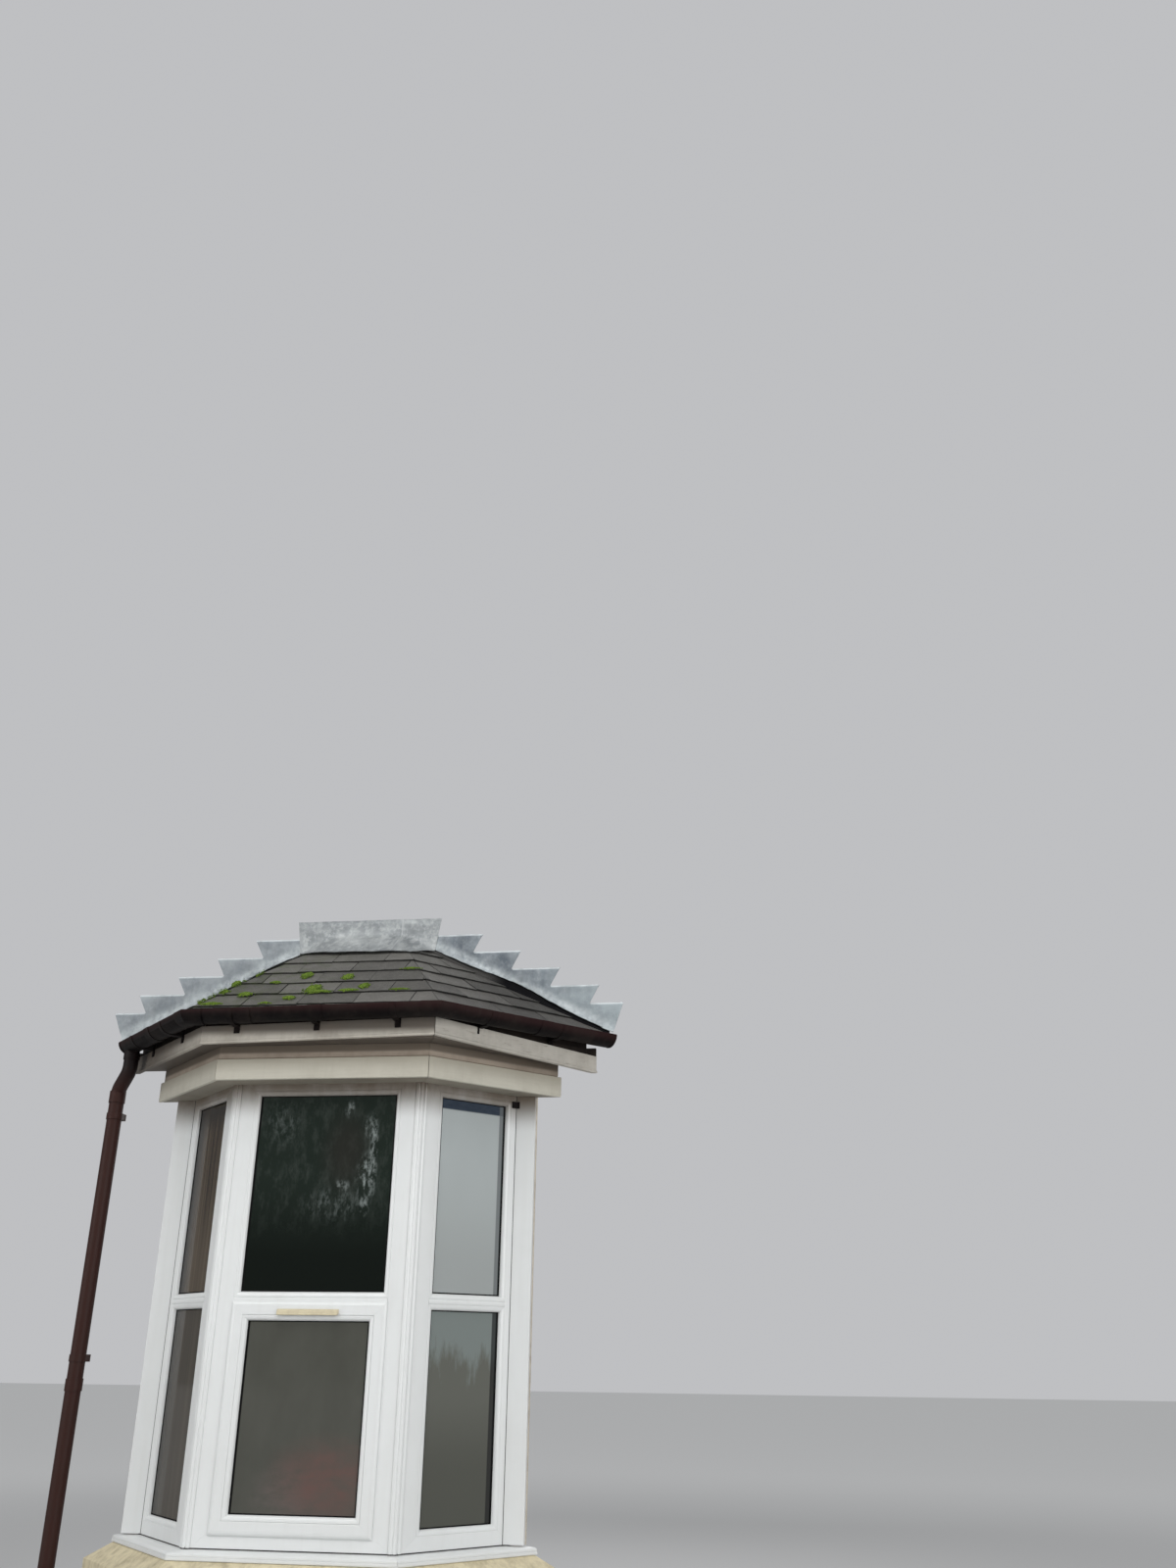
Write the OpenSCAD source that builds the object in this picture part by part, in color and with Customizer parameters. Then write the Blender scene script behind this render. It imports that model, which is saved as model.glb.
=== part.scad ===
// Canted bay window with a hipped slate roof, standing against a house wall.
// X runs along the wall, -Y out of the wall, Z up, and the ground is Z = 0.
// The modules take the wall's face as Y = 0, and placed() moves each piece to the middle of the depth.
// "Out" is a distance outward from the outside face of the window frames.

/* [Plan] */
// Half the width of the bay at the wall, on the outside face of the frames
wall_half = 804; // [700:1:1000]
// Half the width of the front, corner to centre, on the outside face of the frames
front_half = 426; // [360:1:520]
// How far the front stands out from the wall
projection = 400; // [330:1:500]

/* [Base wall] */
// Height of the brick base wall, seven courses
base_h = 619; // [530:1:800]
// How far the brick face stands out from the frames
brick_out = 105; // [80:1:130]
// Thickness of the base wall
base_t = 225; // [200:1:240]

/* [Stone sill] */
// Height of the stone sill over its flat back part
stone_h = 156; // [120:1:200]
// Height of the stone sill's front face
stone_nose_h = 90; // [50:1:110]
// How far the stone sill's front face stands out from the frames
stone_out = 163; // [140:1:190]
// Where the weathered slope of the stone begins
stone_slope_out = 74; // [50:1:78]

/* [Frame sill] */
// Height of the plastic sill under the frames
sill_h = 36; // [28:1:50]
// How far the plastic sill's nose stands out from the frames
sill_out = 80; // [79:1:120]
// Height of the plastic sill's nose
sill_nose_h = 26; // [16:1:27]

/* [Frames] */
// Height of the window frames
frame_h = 1819; // [1500:1:2100]
// Depth of the window frames
frame_d = 60; // [50:1:62]
// How far the corner post runs past the inside corner of the frames
post_lap = 2.15; // [1:0.05:6]
// Radius of the ribs on the corner posts
rib_r = 7; // [4:1:9]
// Distance of the front upper glass from the front's corner
front_stile_w = 117; // [110:1:160]
// Distance of the opening sash from the front's corner
sash_side = 93; // [80:1:140]
// Height of the sash above the bottom of the frame
sash_z = 44; // [35:1:60]
// Width of the sash's rails and stiles
sash_rail = 74; // [60:1:85]
// How far the sash stands out from the frame's outside face
sash_out = 10; // [6:1:14]
// How far the sash reaches into the frame
sash_in = 40; // [36:1:44]
// Overlap of the sash's face over the frame's opening
sash_lap = 12; // [8:1:14]
// Bottom of the upper lights above the bottom of the frame
upper_z = 938; // [800:1:1050]
// Distance of the upper lights from the top of the frame
top_rail_h = 74; // [60:1:90]
// Distance from the top of the sash to the upper light
sash_top_gap = 39; // [36:1:50]
// Bottom of the side lower lights above the bottom of the frame
lower_z = 75; // [60:1:90]
// Height of the side frames' transom, glass to glass
transom_h = 65; // [56:1:80]
// Start of the side glass, measured along the side from the corner
side_glass_s = 115; // [100:1:130]
// Distance of the side glass from the end of the side at the wall
side_glass_end = 93.35; // [80:0.05:110]
// Width of the step around each light
bead_w = 22; // [16:1:26]
// Depth of the step around each light
bead_d = 9; // [6:1:12]
// Thickness of a sealed glass unit
glass_t = 24; // [20:1:28]
// How far the glass sits behind the frame's outside face
glass_in = 18; // [16:1:20]
// How far the glass reaches into the frame's groove
glass_edge = 10; // [6:1:14]

/* [Small fittings] */
// Width of the trickle vent's cover
vent_w = 262; // [200:1:320]
// Height of the trickle vent's cover
vent_h = 23; // [18:1:30]
// Distance of the vent's top edge below the top of the sash
vent_drop = 29; // [24:1:30]
// How far the vent's cover stands out from the sash
vent_t = 14; // [10:1:20]
// Height of the black clip
clip_h = 29; // [20:1:40]
// Distance of the black clip's top edge below the top of the frame
clip_drop = 50; // [30:1:200]
// Thickness of the black clip
clip_t = 8; // [5:1:12]
// Width of the black clip on the frame
clip_w = 26; // [18:1:34]
// Width of the black clip on the wall trim
clip_trim_w = 15; // [8:1:25]

/* [Wall trims] */
// How far the wall trim's outer edge stands past the frames' outline at the wall
trim_over = 58; // [46:1:76]
// Where the wall trim's face meets the side frame, measured back from the side's end at the wall
trim_inset = 43.35; // [36:0.05:50]
// Thickness of the wall trims
trim_t = 8; // [6:1:10]

/* [Head and ceiling] */
// Height of the timber head beam
beam_h = 315; // [250:1:340]
// How far the head beam's outside face stands out from the frames
beam_out = 30; // [20:1:40]
// Width of the head beam
beam_w = 105; // [95:1:125]
// Thickness of the ceiling board
ceiling_t = 12; // [9:1:20]
// Thickness of the window board
board_t = 25; // [18:1:30]
// Width of the window board
board_w = 90; // [70:1:110]

/* [Entablature] */
// Height of the frieze board
frieze_h = 90; // [70:1:110]
// How far the frieze's face stands out from the frames
frieze_out = 125; // [110:1:140]
// Thickness of the frieze, bed and fascia boards
board_thick = 18; // [15:1:22]
// Thickness of the soffit board under the frieze
head_soffit_t = 24; // [18:1:30]
// Height of the bed board above the frieze
bed_h = 59; // [45:1:75]
// How far the bed board sits behind the frieze's face
bed_back = 12; // [8:1:14]
// Thickness of the eaves soffit
eaves_soffit_t = 12; // [9:1:16]
// Height of the fascia board
fascia_h = 77; // [70:1:95]
// How far the fascia's face stands out from the frames
fascia_out = 226; // [215:1:240]
// How far the fascia's right corner has risen
fascia_lift = 10; // [0:1:10]
// How far the left fascia has sunk
fascia_sag = 12; // [0:1:20]
// How far the right fascia has dropped at the wall
fascia_drop = 42; // [0:1:55]
// How far the right fascia has swung out at the wall, measured along the wall
fascia_swing = 24; // [0:1:30]

/* [Roof] */
// Height of the slates' lower edge above the fascia
eaves_gap = 65; // [56:1:74]
// How far the slates' lower edge stands out from the frames
eaves_out = 288; // [278:1:300]
// Rise of the front slope for each unit of run
front_rise = 0.731; // [0.6:0.001:0.75]
// Half the length of the roof's top edge at the wall
top_half = 160; // [120:1:220]
// Thickness of the slates, measured upright
slate_t = 12; // [10:1:16]
// Thickness of the battens under the slates, measured upright
batten_t = 16; // [12:1:20]
// Depth of the rafters, measured square to the slope
rafter_d = 100; // [90:1:110]
// Thickness of the common rafters
rafter_t = 50; // [38:1:60]
// Thickness of the hip rafters
hip_t = 40; // [32:1:50]
// Distance of the common rafters from the centre line
rafter_x = 105; // [80:1:120]
// Distance of the front jack rafters from the centre line
jack_x = 300; // [270:1:330]
// Place of the side rafters, as a share of the side's length from the corner
side_rafter_share = 0.6; // [0.55:0.01:0.65]
// Thickness of the ledger against the wall
ledger_t = 45; // [38:1:60]
// Depth of the ledger
ledger_d = 110; // [90:1:130]

/* [Lead] */
// Thickness of the lead as dressed, with its folds
lead_t = 4; // [3:1:6]
// Height of one step of the flashing, one brick course
step_rise = 88.4; // [80:0.1:95]
// Width of one step of the flashing
step_run = 191; // [170:1:200]
// Number of steps
flashing_steps = 5; // [4:1:6]
// Outer slant of each step
step_slant = 45; // [30:1:55]
// How much further out the lowest step's tip reaches
step_tip_more = 18; // [0:1:30]
// Height of the first step's top edge above the slates' lower edge
step_h = 146; // [138:1:153]
// Distance of the first step's inner end from the roof's corner at the wall
step_inset = 96; // [90:1:105]
// Width of the lead that lies on the slates, measured from the wall
flange_w = 110; // [80:1:150]
// How far the apron's foot on the wall reaches past the roof's top edge
apron_reach = 175; // [165:1:180]
// How far the apron's top edge reaches past its foot
apron_flare = 30; // [20:1:31]
// How far the apron reaches down the front slope, measured from the wall
apron_run = 178; // [150:1:220]

/* [Rainwater] */
// Outside radius of the half-round gutter
gutter_r = 56; // [50:1:62]
// How far the gutter's rim sits below the middle of its arc
gutter_lip = 5; // [0:0.5:8]
// Wall of the gutter and pipes
gutter_t = 3; // [2.5:0.1:4]
// Gap between the fascia and the gutter
gutter_gap = 6; // [4:1:8]
// Height of the gutter's rim below the slates' lower edge
gutter_drop = 12; // [8:1:16]
// Gap between the gutter and the wall
gutter_wall_gap = 9; // [6:1:20]
// How much earlier the gutter ends on the left than a square end needs
gutter_short = 57; // [0:1:80]
// How much further the gutter runs on the right, where it is trimmed along the wall
gutter_long = 60; // [0:1:70]
// Width of a gutter bracket
bracket_w = 25; // [18:1:35]
// Thickness of a gutter bracket
bracket_t = 3; // [3:0.5:5]
// Height of the bracket's plate on the fascia
bracket_plate_h = 30; // [20:1:45]
// Distance of the outer front brackets from the front's corner
bracket_inset = 66; // [30:1:120]
// Place of the near side brackets along the side from the corner
bracket_s = 130; // [90:1:200]
// Distance of the far side brackets from the gutter's ends
bracket_end = 237; // [200:1:300]
// Outside radius of the downpipe
pipe_r = 34; // [30:1:38]
// How far the downpipe stands past the gutter's outlet along the wall
pipe_shift = 80; // [60:1:100]
// Distance of the downpipe's centre from the wall
pipe_y = 50; // [46:1:60]
// Distance of the gutter's outlet from its end
outlet_inset = 50; // [44:1:66]
// Distance of the swan neck's upper bend below the gutter
outlet_drop = 95; // [39:1:110]
// Height of the swan neck between its bends
bend_fall = 75; // [60:1:150]
// How much larger the bends' sockets are than the pipe
bend_r_more = 3; // [2:0.5:4]
// Height of the downpipe's lower end above the ground
shoe_z = 120; // [90:1:200]
// Height of a pipe clip
clip_band_h = 30; // [20:1:40]
// Places of the three pipe clips, as shares of the downpipe's straight length
clip_shares = [0.117, 0.531, 0.945]; // [0.05:0.001:0.95]

/* [Hidden] */

// Direction of the right side: along it toward the wall, and outward from it
side_run = wall_half - front_half;
side_len = sqrt(side_run * side_run + projection * projection);
nx = projection / side_len;
ny = side_run / side_len;
side_angle = -atan2(ny, nx);
// Share by which a corner moves sideways as the outline moves outward
mitre = (1 - ny) / nx;
// Width of the corner post beside each frame
post_s = frame_d * mitre + post_lap;
far = 3000;
// How far a cutting shape passes a face, and the clearance between curved pieces
cut = 1;
eps = 0.3;
round_fn = 64;

// Outline of the bay moved outward by "out"
function corner_x(out) = front_half + out * mitre;
function front_y(out) = -(projection + out);
function wall_x(out) = wall_half + out / nx;
// A place on the right side: s along it from the corner, and out from it
function side_point(s, out) = [front_half + ny * s + nx * out, -projection + nx * s - ny * out];

// Heights
sill_z = base_h + stone_h;
frame_z = sill_z + sill_h;
frame_top = frame_z + frame_h;
soffit_z = frame_top - head_soffit_t;
frieze_top = soffit_z + frieze_h;
eaves_soffit_z = frieze_top + bed_h;
eaves_z = eaves_soffit_z + fascia_h + eaves_gap;
beam_top = frame_top + beam_h;
bed_out = frieze_out - bed_back;

// Height of the slates' upper surface over a place "out" from the frames
function slope_top(rise, out) = eaves_z + rise * (eaves_out - out);
// The slates' top edge on the wall, and the side slopes' fall along the wall from it
top_z = slope_top(front_rise, -projection);
wall_fall = (top_z - eaves_z) / (wall_x(eaves_out) - top_half);
side_rise = wall_fall / nx;
// Height of the side slope's surface on the wall
function roof_on_wall(x) = eaves_z + wall_fall * (wall_x(eaves_out) - x);
roof_t = slate_t + batten_t;
front_rafter_v = rafter_d * sqrt(1 + front_rise * front_rise);
side_rafter_v = rafter_d * sqrt(1 + side_rise * side_rise);
// Hip in plan, from the eaves corner to the wall
hip_run = [top_half - corner_x(eaves_out), -front_y(eaves_out)];
hip_len = sqrt(hip_run[0] * hip_run[0] + hip_run[1] * hip_run[1]);
hip_angle = atan2(hip_run[1], hip_run[0]);
hip_slope = (top_z - eaves_z) / hip_len;
hip_shift = hip_t / 2 * hip_len / hip_run[1];
hip_drop = hip_t / 2 * front_rise * -hip_run[0] / hip_len + eps;
function hip_x(y) = top_half - hip_run[0] / hip_run[1] * -y;

module left() { mirror([1, 0, 0]) children(); }
module both_sides() { children(); left() children(); }

// Plan areas of the front and of the right side, between two distances outward
module front_area(out_a, out_b) {
    polygon([[-corner_x(out_a), front_y(out_a)], [corner_x(out_a), front_y(out_a)],
        [corner_x(out_b), front_y(out_b)], [-corner_x(out_b), front_y(out_b)]]);
}
module side_area(out_a, out_b) {
    polygon([[corner_x(out_a), front_y(out_a)], [wall_x(out_a), 0],
        [wall_x(out_b), 0], [corner_x(out_b), front_y(out_b)]]);
}
module bay_area(out_a, out_b) {
    polygon([[-wall_x(out_a), 0], [-corner_x(out_a), front_y(out_a)],
        [corner_x(out_a), front_y(out_a)], [wall_x(out_a), 0],
        [wall_x(out_b), 0], [corner_x(out_b), front_y(out_b)],
        [-corner_x(out_b), front_y(out_b)], [-wall_x(out_b), 0]]);
}
module slab(z0, h) { translate([0, 0, z0]) linear_extrude(h) children(); }

// A section drawn as [out, height], run along the front or along the right side
module front_run(half = far) {
    translate([half, -projection, 0]) rotate([90, 0, -90]) linear_extrude(2 * half) children();
}
module side_run_of(s0 = -far, s1 = far) {
    translate([front_half + ny * s1, -projection + nx * s1, 0]) rotate([90, 0, side_angle])
        linear_extrude(s1 - s0) children();
}
// The same run, mitred at the corners and cut off at the wall
module front_mitred(out_a, out_b) {
    intersection() {
        front_run(corner_x(out_b) + cut) children();
        slab(-cut, far * 2) front_area(out_a, out_b);
    }
}
module side_mitred(out_a, out_b) {
    intersection() {
        side_run_of() children();
        slab(-cut, far * 2) side_area(out_a, out_b);
    }
}

// A box on the front or on the right side: along it, outward and up
module front_box(x0, x1, out0, out1, z0, z1) {
    translate([x0, front_y(out1), z0]) cube([x1 - x0, out1 - out0, z1 - z0]);
}
module side_box(s0, s1, out0, out1, z0, z1) {
    side_run_of(s0, s1) polygon([[out0, z0], [out1, z0], [out1, z1], [out0, z1]]);
}

module base_wall_front() {
    color("sienna") slab(0, base_h) front_area(brick_out - base_t, brick_out);
}
module base_wall_right() {
    color("sienna") slab(0, base_h) side_area(brick_out - base_t, brick_out);
}

module stone_section() {
    polygon([[brick_out - base_t, base_h], [brick_out - base_t, sill_z], [stone_slope_out, sill_z],
        [stone_out, base_h + stone_nose_h], [stone_out, base_h]]);
}
module stone_sill_front() {
    color("wheat") front_mitred(brick_out - base_t, stone_out) stone_section();
}
module stone_sill_right() {
    color("wheat") side_mitred(brick_out - base_t, stone_out) stone_section();
}

module frame_sill_section() {
    polygon([[-frame_d, sill_z], [-frame_d, frame_z], [0, frame_z],
        [sill_out, sill_z + sill_nose_h], [sill_out, sill_z]]);
}
module frame_sill() {
    color("white") {
        front_mitred(-frame_d, sill_out) frame_sill_section();
        both_sides() side_mitred(-frame_d, sill_out) frame_sill_section();
    }
}

// What is cut from a frame for one light: the opening, the step around it and the glass groove
module front_light(x0, x1, z0, z1, out = 0, step = bead_w) {
    front_box(x0, x1, out - frame_d - cut, out + cut, z0, z1);
    front_box(x0 - step, x1 + step, out - bead_d, out + cut, z0 - step, z1 + step);
    front_pane(x0, x1, z0, z1, out);
}
module front_pane(x0, x1, z0, z1, out = 0) {
    front_box(x0 - glass_edge, x1 + glass_edge, out - glass_in - glass_t, out - glass_in,
        z0 - glass_edge, z1 + glass_edge);
}
module side_light(z0, z1) {
    s0 = side_glass_s;
    s1 = side_glass_s + side_glass_w;
    side_box(s0, s1, -frame_d - cut, cut, z0, z1);
    side_box(s0 - bead_w, s1 + bead_w, -bead_d, cut, z0 - bead_w, z1 + bead_w);
    side_pane(z0, z1);
}
module side_pane(z0, z1) {
    side_box(side_glass_s - glass_edge, side_glass_s + side_glass_w + glass_edge,
        -glass_in - glass_t, -glass_in, z0 - glass_edge, z1 + glass_edge);
}

upper_z0 = frame_z + upper_z;
upper_h = frame_h - upper_z - top_rail_h;
sash_z0 = frame_z + sash_z;
sash_z1 = upper_z0 - sash_top_gap;
lower_z0 = frame_z + lower_z;
lower_h = upper_z - lower_z - transom_h;
side_glass_w = side_len - side_glass_s - side_glass_end;
front_glass_half = front_half - front_stile_w;
sash_half = front_half - sash_side;
sash_glass_half = sash_half - sash_rail;

module frame_front() {
    color("white") difference() {
        front_box(-front_half + post_s, front_half - post_s, -frame_d, 0, frame_z, frame_top);
        front_light(-front_glass_half, front_glass_half, upper_z0, upper_z0 + upper_h);
        front_box(-sash_half + sash_lap, sash_half - sash_lap, -frame_d - cut, cut,
            sash_z0 + sash_lap, sash_z1 - sash_lap);
    }
}
module sash_front() {
    color("white") difference() {
        union() {
            front_box(-sash_half, sash_half, 0, sash_out, sash_z0, sash_z1);
            front_box(-sash_half + sash_lap, sash_half - sash_lap, -sash_in, 0,
                sash_z0 + sash_lap, sash_z1 - sash_lap);
        }
        front_light(-sash_glass_half, sash_glass_half, sash_z0 + sash_rail, sash_z1 - sash_rail,
            sash_out);
    }
}
module glass_front_upper() {
    color("darkslategray") front_pane(-front_glass_half, front_glass_half, upper_z0, upper_z0 + upper_h);
}
module glass_front_sash() {
    color("darkslategray") front_pane(-sash_glass_half, sash_glass_half,
        sash_z0 + sash_rail, sash_z1 - sash_rail, sash_out);
}
module frame_right() {
    color("white") difference() {
        intersection() {
            side_box(post_s, far, -frame_d, 0, frame_z, frame_top);
            slab(0, far * 2) side_area(-frame_d, 0);
        }
        side_light(upper_z0, upper_z0 + upper_h);
        side_light(lower_z0, lower_z0 + lower_h);
    }
}
module glass_right() {
    color("lightslategray") {
        side_pane(upper_z0, upper_z0 + upper_h);
        side_pane(lower_z0, lower_z0 + lower_h);
    }
}

module corner_post_right() {
    start = [front_half - post_s, front_y(0)];
    color("white") slab(frame_z, frame_h) {
        polygon([start, [front_half, front_y(0)], side_point(post_s, 0),
            side_point(post_s, -frame_d), [corner_x(-frame_d), front_y(-frame_d)],
            [start[0], front_y(-frame_d)]]);
        translate([front_half - post_s + rib_r, front_y(0)]) circle(rib_r, $fn = 32);
        translate([front_half, front_y(0)]) circle(rib_r, $fn = 32);
        translate(side_point(post_s - rib_r, 0)) circle(rib_r, $fn = 32);
    }
}

// The wall trim covers the joint between the side frame and the wall
trim_s = side_len - trim_inset;
trim_half = wall_half + trim_over;
trim_y = side_point(trim_s, 0)[1];
trim_back_s = trim_s + trim_t / nx;
module wall_trim_right() {
    color("white") slab(frame_z, soffit_z - frame_z) polygon([side_point(trim_s, 0), [trim_half, trim_y],
        [trim_half, 0], [trim_half - trim_t, 0], [trim_half - trim_t, trim_y + trim_t],
        side_point(trim_back_s, 0)]);
}
module packing_studs() {
    color("burlywood") both_sides() slab(frame_z, soffit_z - frame_z) polygon([side_point(trim_back_s, 0),
        [trim_half - trim_t, trim_y + trim_t], [trim_half - trim_t, 0], [wall_half, 0]]);
}

module trickle_vent() {
    z0 = sash_z1 - vent_drop - vent_h;
    color("cornsilk") front_run(vent_w / 2) polygon([[sash_out, z0], [sash_out, z0 + vent_h],
        [sash_out + vent_t / 2, z0 + vent_h], [sash_out + vent_t, z0 + vent_h / 3], [sash_out + vent_t, z0]]);
}
module black_clip() {
    a = side_point(trim_s, 0);
    color("black") slab(frame_top - clip_drop - clip_h, clip_h) polygon([side_point(trim_s - clip_w, 0),
        side_point(trim_s - clip_w, clip_t), [a[0] + clip_t * mitre, a[1] - clip_t],
        [a[0] + clip_trim_w, a[1] - clip_t], [a[0] + clip_trim_w, a[1]], a]);
}

module window_board() {
    color("white") slab(sill_z, board_t) bay_area(-frame_d - board_w, -frame_d);
}
module ceiling() {
    color("whitesmoke") slab(frame_top - ceiling_t, ceiling_t)
        polygon([[-wall_x(-frame_d), 0], [-corner_x(-frame_d), front_y(-frame_d)],
            [corner_x(-frame_d), front_y(-frame_d)], [wall_x(-frame_d), 0]]);
}
module head_beam_area() { bay_area(beam_out - beam_w, beam_out); }
module head_beam() { color("burlywood") slab(frame_top, beam_h) head_beam_area(); }

frieze_back = frieze_out - board_thick;
fascia_back = fascia_out - board_thick;
module frieze_soffit() {
    color("whitesmoke") slab(soffit_z, head_soffit_t) bay_area(0, frieze_back);
}
module frieze_front() {
    color("whitesmoke") slab(soffit_z, frieze_h) front_area(frieze_back, frieze_out);
}
module frieze_right() {
    color("whitesmoke") slab(soffit_z, frieze_h) side_area(frieze_back, frieze_out);
}
module bed_board() {
    color("gainsboro") slab(frieze_top, bed_h) bay_area(bed_out - board_thick, bed_out);
}
module eaves_soffit() {
    color("gainsboro") slab(eaves_soffit_z, eaves_soffit_t) bay_area(bed_out - board_thick, fascia_back);
}
// Leans a board by its rise along X and along Y, and moves it up
module leaning(by_x, by_y, up) { multmatrix([[1, 0, 0, 0], [0, 1, 0, 0], [by_x, by_y, 1, up]]) children(); }
module fascia_front() {
    color("whitesmoke")
        leaning((fascia_lift + fascia_sag) / (2 * corner_x(fascia_out)), 0, (fascia_lift - fascia_sag) / 2)
        slab(eaves_soffit_z, fascia_h) front_area(fascia_back, fascia_out);
}
module fascia_left() {
    color("whitesmoke") left() slab(eaves_soffit_z - fascia_sag, fascia_h) side_area(fascia_back, fascia_out);
}
// The swung board is notched round the plates of the gutter's brackets
module fascia_right() {
    plate_z = gutter_z - gutter_r - bracket_plate_h;
    color("whitesmoke") difference() {
        leaning(0, (fascia_lift + fascia_drop) / front_y(fascia_out), -fascia_drop)
            slab(eaves_soffit_z, fascia_h) polygon([[corner_x(fascia_back), front_y(fascia_back)],
                [wall_x(fascia_back) + fascia_swing, 0], [wall_x(fascia_out) + fascia_swing, 0],
                [corner_x(fascia_out), front_y(fascia_out)]]);
        for (s = [bracket_s, bracket_far_s])
            side_box(s - bracket_w / 2 - eps, s + bracket_w / 2 + eps, fascia_out, fascia_out + board_thick,
                plate_z - eps, gutter_z);
    }
}

// Sections through a slope as [out, height]: a layer from "up" above the slates' surface to "down" below it
module layer(rise, out0, out1, up, down) {
    polygon([[out0, slope_top(rise, out0) + up], [out1, slope_top(rise, out1) + up],
        [out1, slope_top(rise, out1) - down], [out0, slope_top(rise, out0) - down]]);
}
// Slates, with battens under them from the fascia up
module roof_section(rise, out0) {
    polygon([[out0, slope_top(rise, out0)], [eaves_out, eaves_z], [eaves_out, eaves_z - slate_t],
        [fascia_back, slope_top(rise, fascia_back) - slate_t],
        [fascia_back, slope_top(rise, fascia_back) - roof_t], [out0, slope_top(rise, out0) - roof_t]]);
}
// Plan areas of the slopes, each drawn back from the hip line by "back"
module front_slope_area(back = 0) {
    polygon([[-corner_x(eaves_out) + back, front_y(eaves_out)], [corner_x(eaves_out) - back, front_y(eaves_out)],
        [top_half - back, 0], [-top_half + back, 0]]);
}
module side_slope_area(back = 0) {
    polygon([[corner_x(eaves_out) + back, front_y(eaves_out)], [wall_x(eaves_out) + back, 0],
        [top_half + back, 0]]);
}
module slates_front() {
    color("dimgray") intersection() {
        front_run(wall_x(eaves_out)) roof_section(front_rise, -projection);
        slab(0, far * 2) front_slope_area();
    }
}
module slates_right() {
    color("dimgray") intersection() {
        side_run_of() roof_section(side_rise, -wall_half);
        slab(0, far * 2) side_slope_area();
    }
}

// Rafters lie under the slates, stop at the fascia and sit over the head beam
module front_rafter(x) {
    translate([x + rafter_t / 2, -projection, 0]) rotate([90, 0, -90]) linear_extrude(rafter_t)
        layer(front_rise, -projection, fascia_back, -roof_t, roof_t + front_rafter_v);
}
module side_rafter(s) {
    side_run_of(s - rafter_t / 2, s + rafter_t / 2)
        layer(side_rise, -wall_half, fascia_back, -roof_t, roof_t + side_rafter_v);
}
module hip_rafter() {
    z0 = eaves_z - roof_t - hip_drop;
    translate([corner_x(eaves_out), front_y(eaves_out), 0]) rotate([90, 0, hip_angle])
        translate([0, 0, -hip_t / 2]) linear_extrude(hip_t) polygon([[0, z0], [hip_len, z0 + hip_len * hip_slope],
            [hip_len, z0 + hip_len * hip_slope - front_rafter_v], [0, z0 - front_rafter_v]]);
}
module rafters() {
    color("burlywood") difference() {
        intersection() {
            union() {
                intersection() {
                    for (x = [-jack_x, -rafter_x, rafter_x, jack_x]) front_rafter(x);
                    slab(0, far * 2) front_slope_area(hip_shift);
                }
                both_sides() {
                    intersection() {
                        side_rafter(side_rafter_share * side_len);
                        slab(0, far * 2) side_slope_area(hip_shift);
                    }
                    hip_rafter();
                }
            }
            slab(0, far * 2) polygon([[-corner_x(fascia_back), front_y(fascia_back)],
                [corner_x(fascia_back), front_y(fascia_back)], side_point(side_len, fascia_back),
                [wall_x(fascia_back), -ledger_t], [-wall_x(fascia_back), -ledger_t],
                [-side_point(side_len, fascia_back)[0], side_point(side_len, fascia_back)[1]]]);
        }
        slab(frame_top, beam_h) head_beam_area();
    }
}

// The ledger follows the roof's outline on the wall, under the slates
module wall_ledger() {
    front_low = roof_t + ledger_t * front_rise;
    side_low = roof_t + ledger_t * side_rise * ny;
    foot_x = wall_x(beam_out) - cut;
    foot_z = roof_on_wall(foot_x) - side_low;
    knee_x = wall_x(eaves_out) - (top_z - front_low + side_low - eaves_z) / wall_fall;
    color("burlywood") rotate([90, 0, 0]) linear_extrude(ledger_t)
        polygon([[-foot_x, beam_top], [-foot_x, foot_z], [-knee_x, top_z - front_low],
            [knee_x, top_z - front_low], [foot_x, foot_z], [foot_x, beam_top],
            [foot_x - ledger_d, beam_top], [knee_x - ledger_d / 2, top_z - front_low - ledger_d],
            [-knee_x + ledger_d / 2, top_z - front_low - ledger_d], [-foot_x + ledger_d, beam_top]]);
}

step_z = eaves_z + step_h;
step_x = wall_x(eaves_out) - step_inset;
apron_foot = top_half + apron_reach;
apron_half = apron_foot + apron_flare;
// The upstands start a little above the slates, inside the sheet that lies on them
function lead_foot(x) = roof_on_wall(x) + lead_t / 2;
module step_flashing() {
    tip_x = wall_x(eaves_out);
    teeth = [for (k = [0 : flashing_steps - 1]) each [
        [k == 0 ? tip_x + step_slant + step_tip_more : step_x - step_run * (k - 1) + step_slant, step_z + step_rise * k],
        [k == flashing_steps - 1 ? apron_foot + (apron_half - apron_foot) / 2 : step_x - step_run * k,
            step_z + step_rise * k]]];
    rotate([90, 0, 0]) linear_extrude(lead_t)
        polygon(concat([[apron_foot, lead_foot(apron_foot)], [tip_x, lead_foot(tip_x)]], teeth));
    intersection() {
        side_run_of() layer(side_rise, -wall_half, eaves_out, lead_t, 0);
        slab(0, far * 2) polygon([[apron_foot, 0], [tip_x, 0], [tip_x - flange_w * ny / nx, -flange_w],
            [apron_foot - (apron_foot - hip_x(-apron_run)) * flange_w / apron_run, -flange_w]]);
    }
}
module step_flashings() { color("lightsteelblue") both_sides() step_flashing(); }

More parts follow.
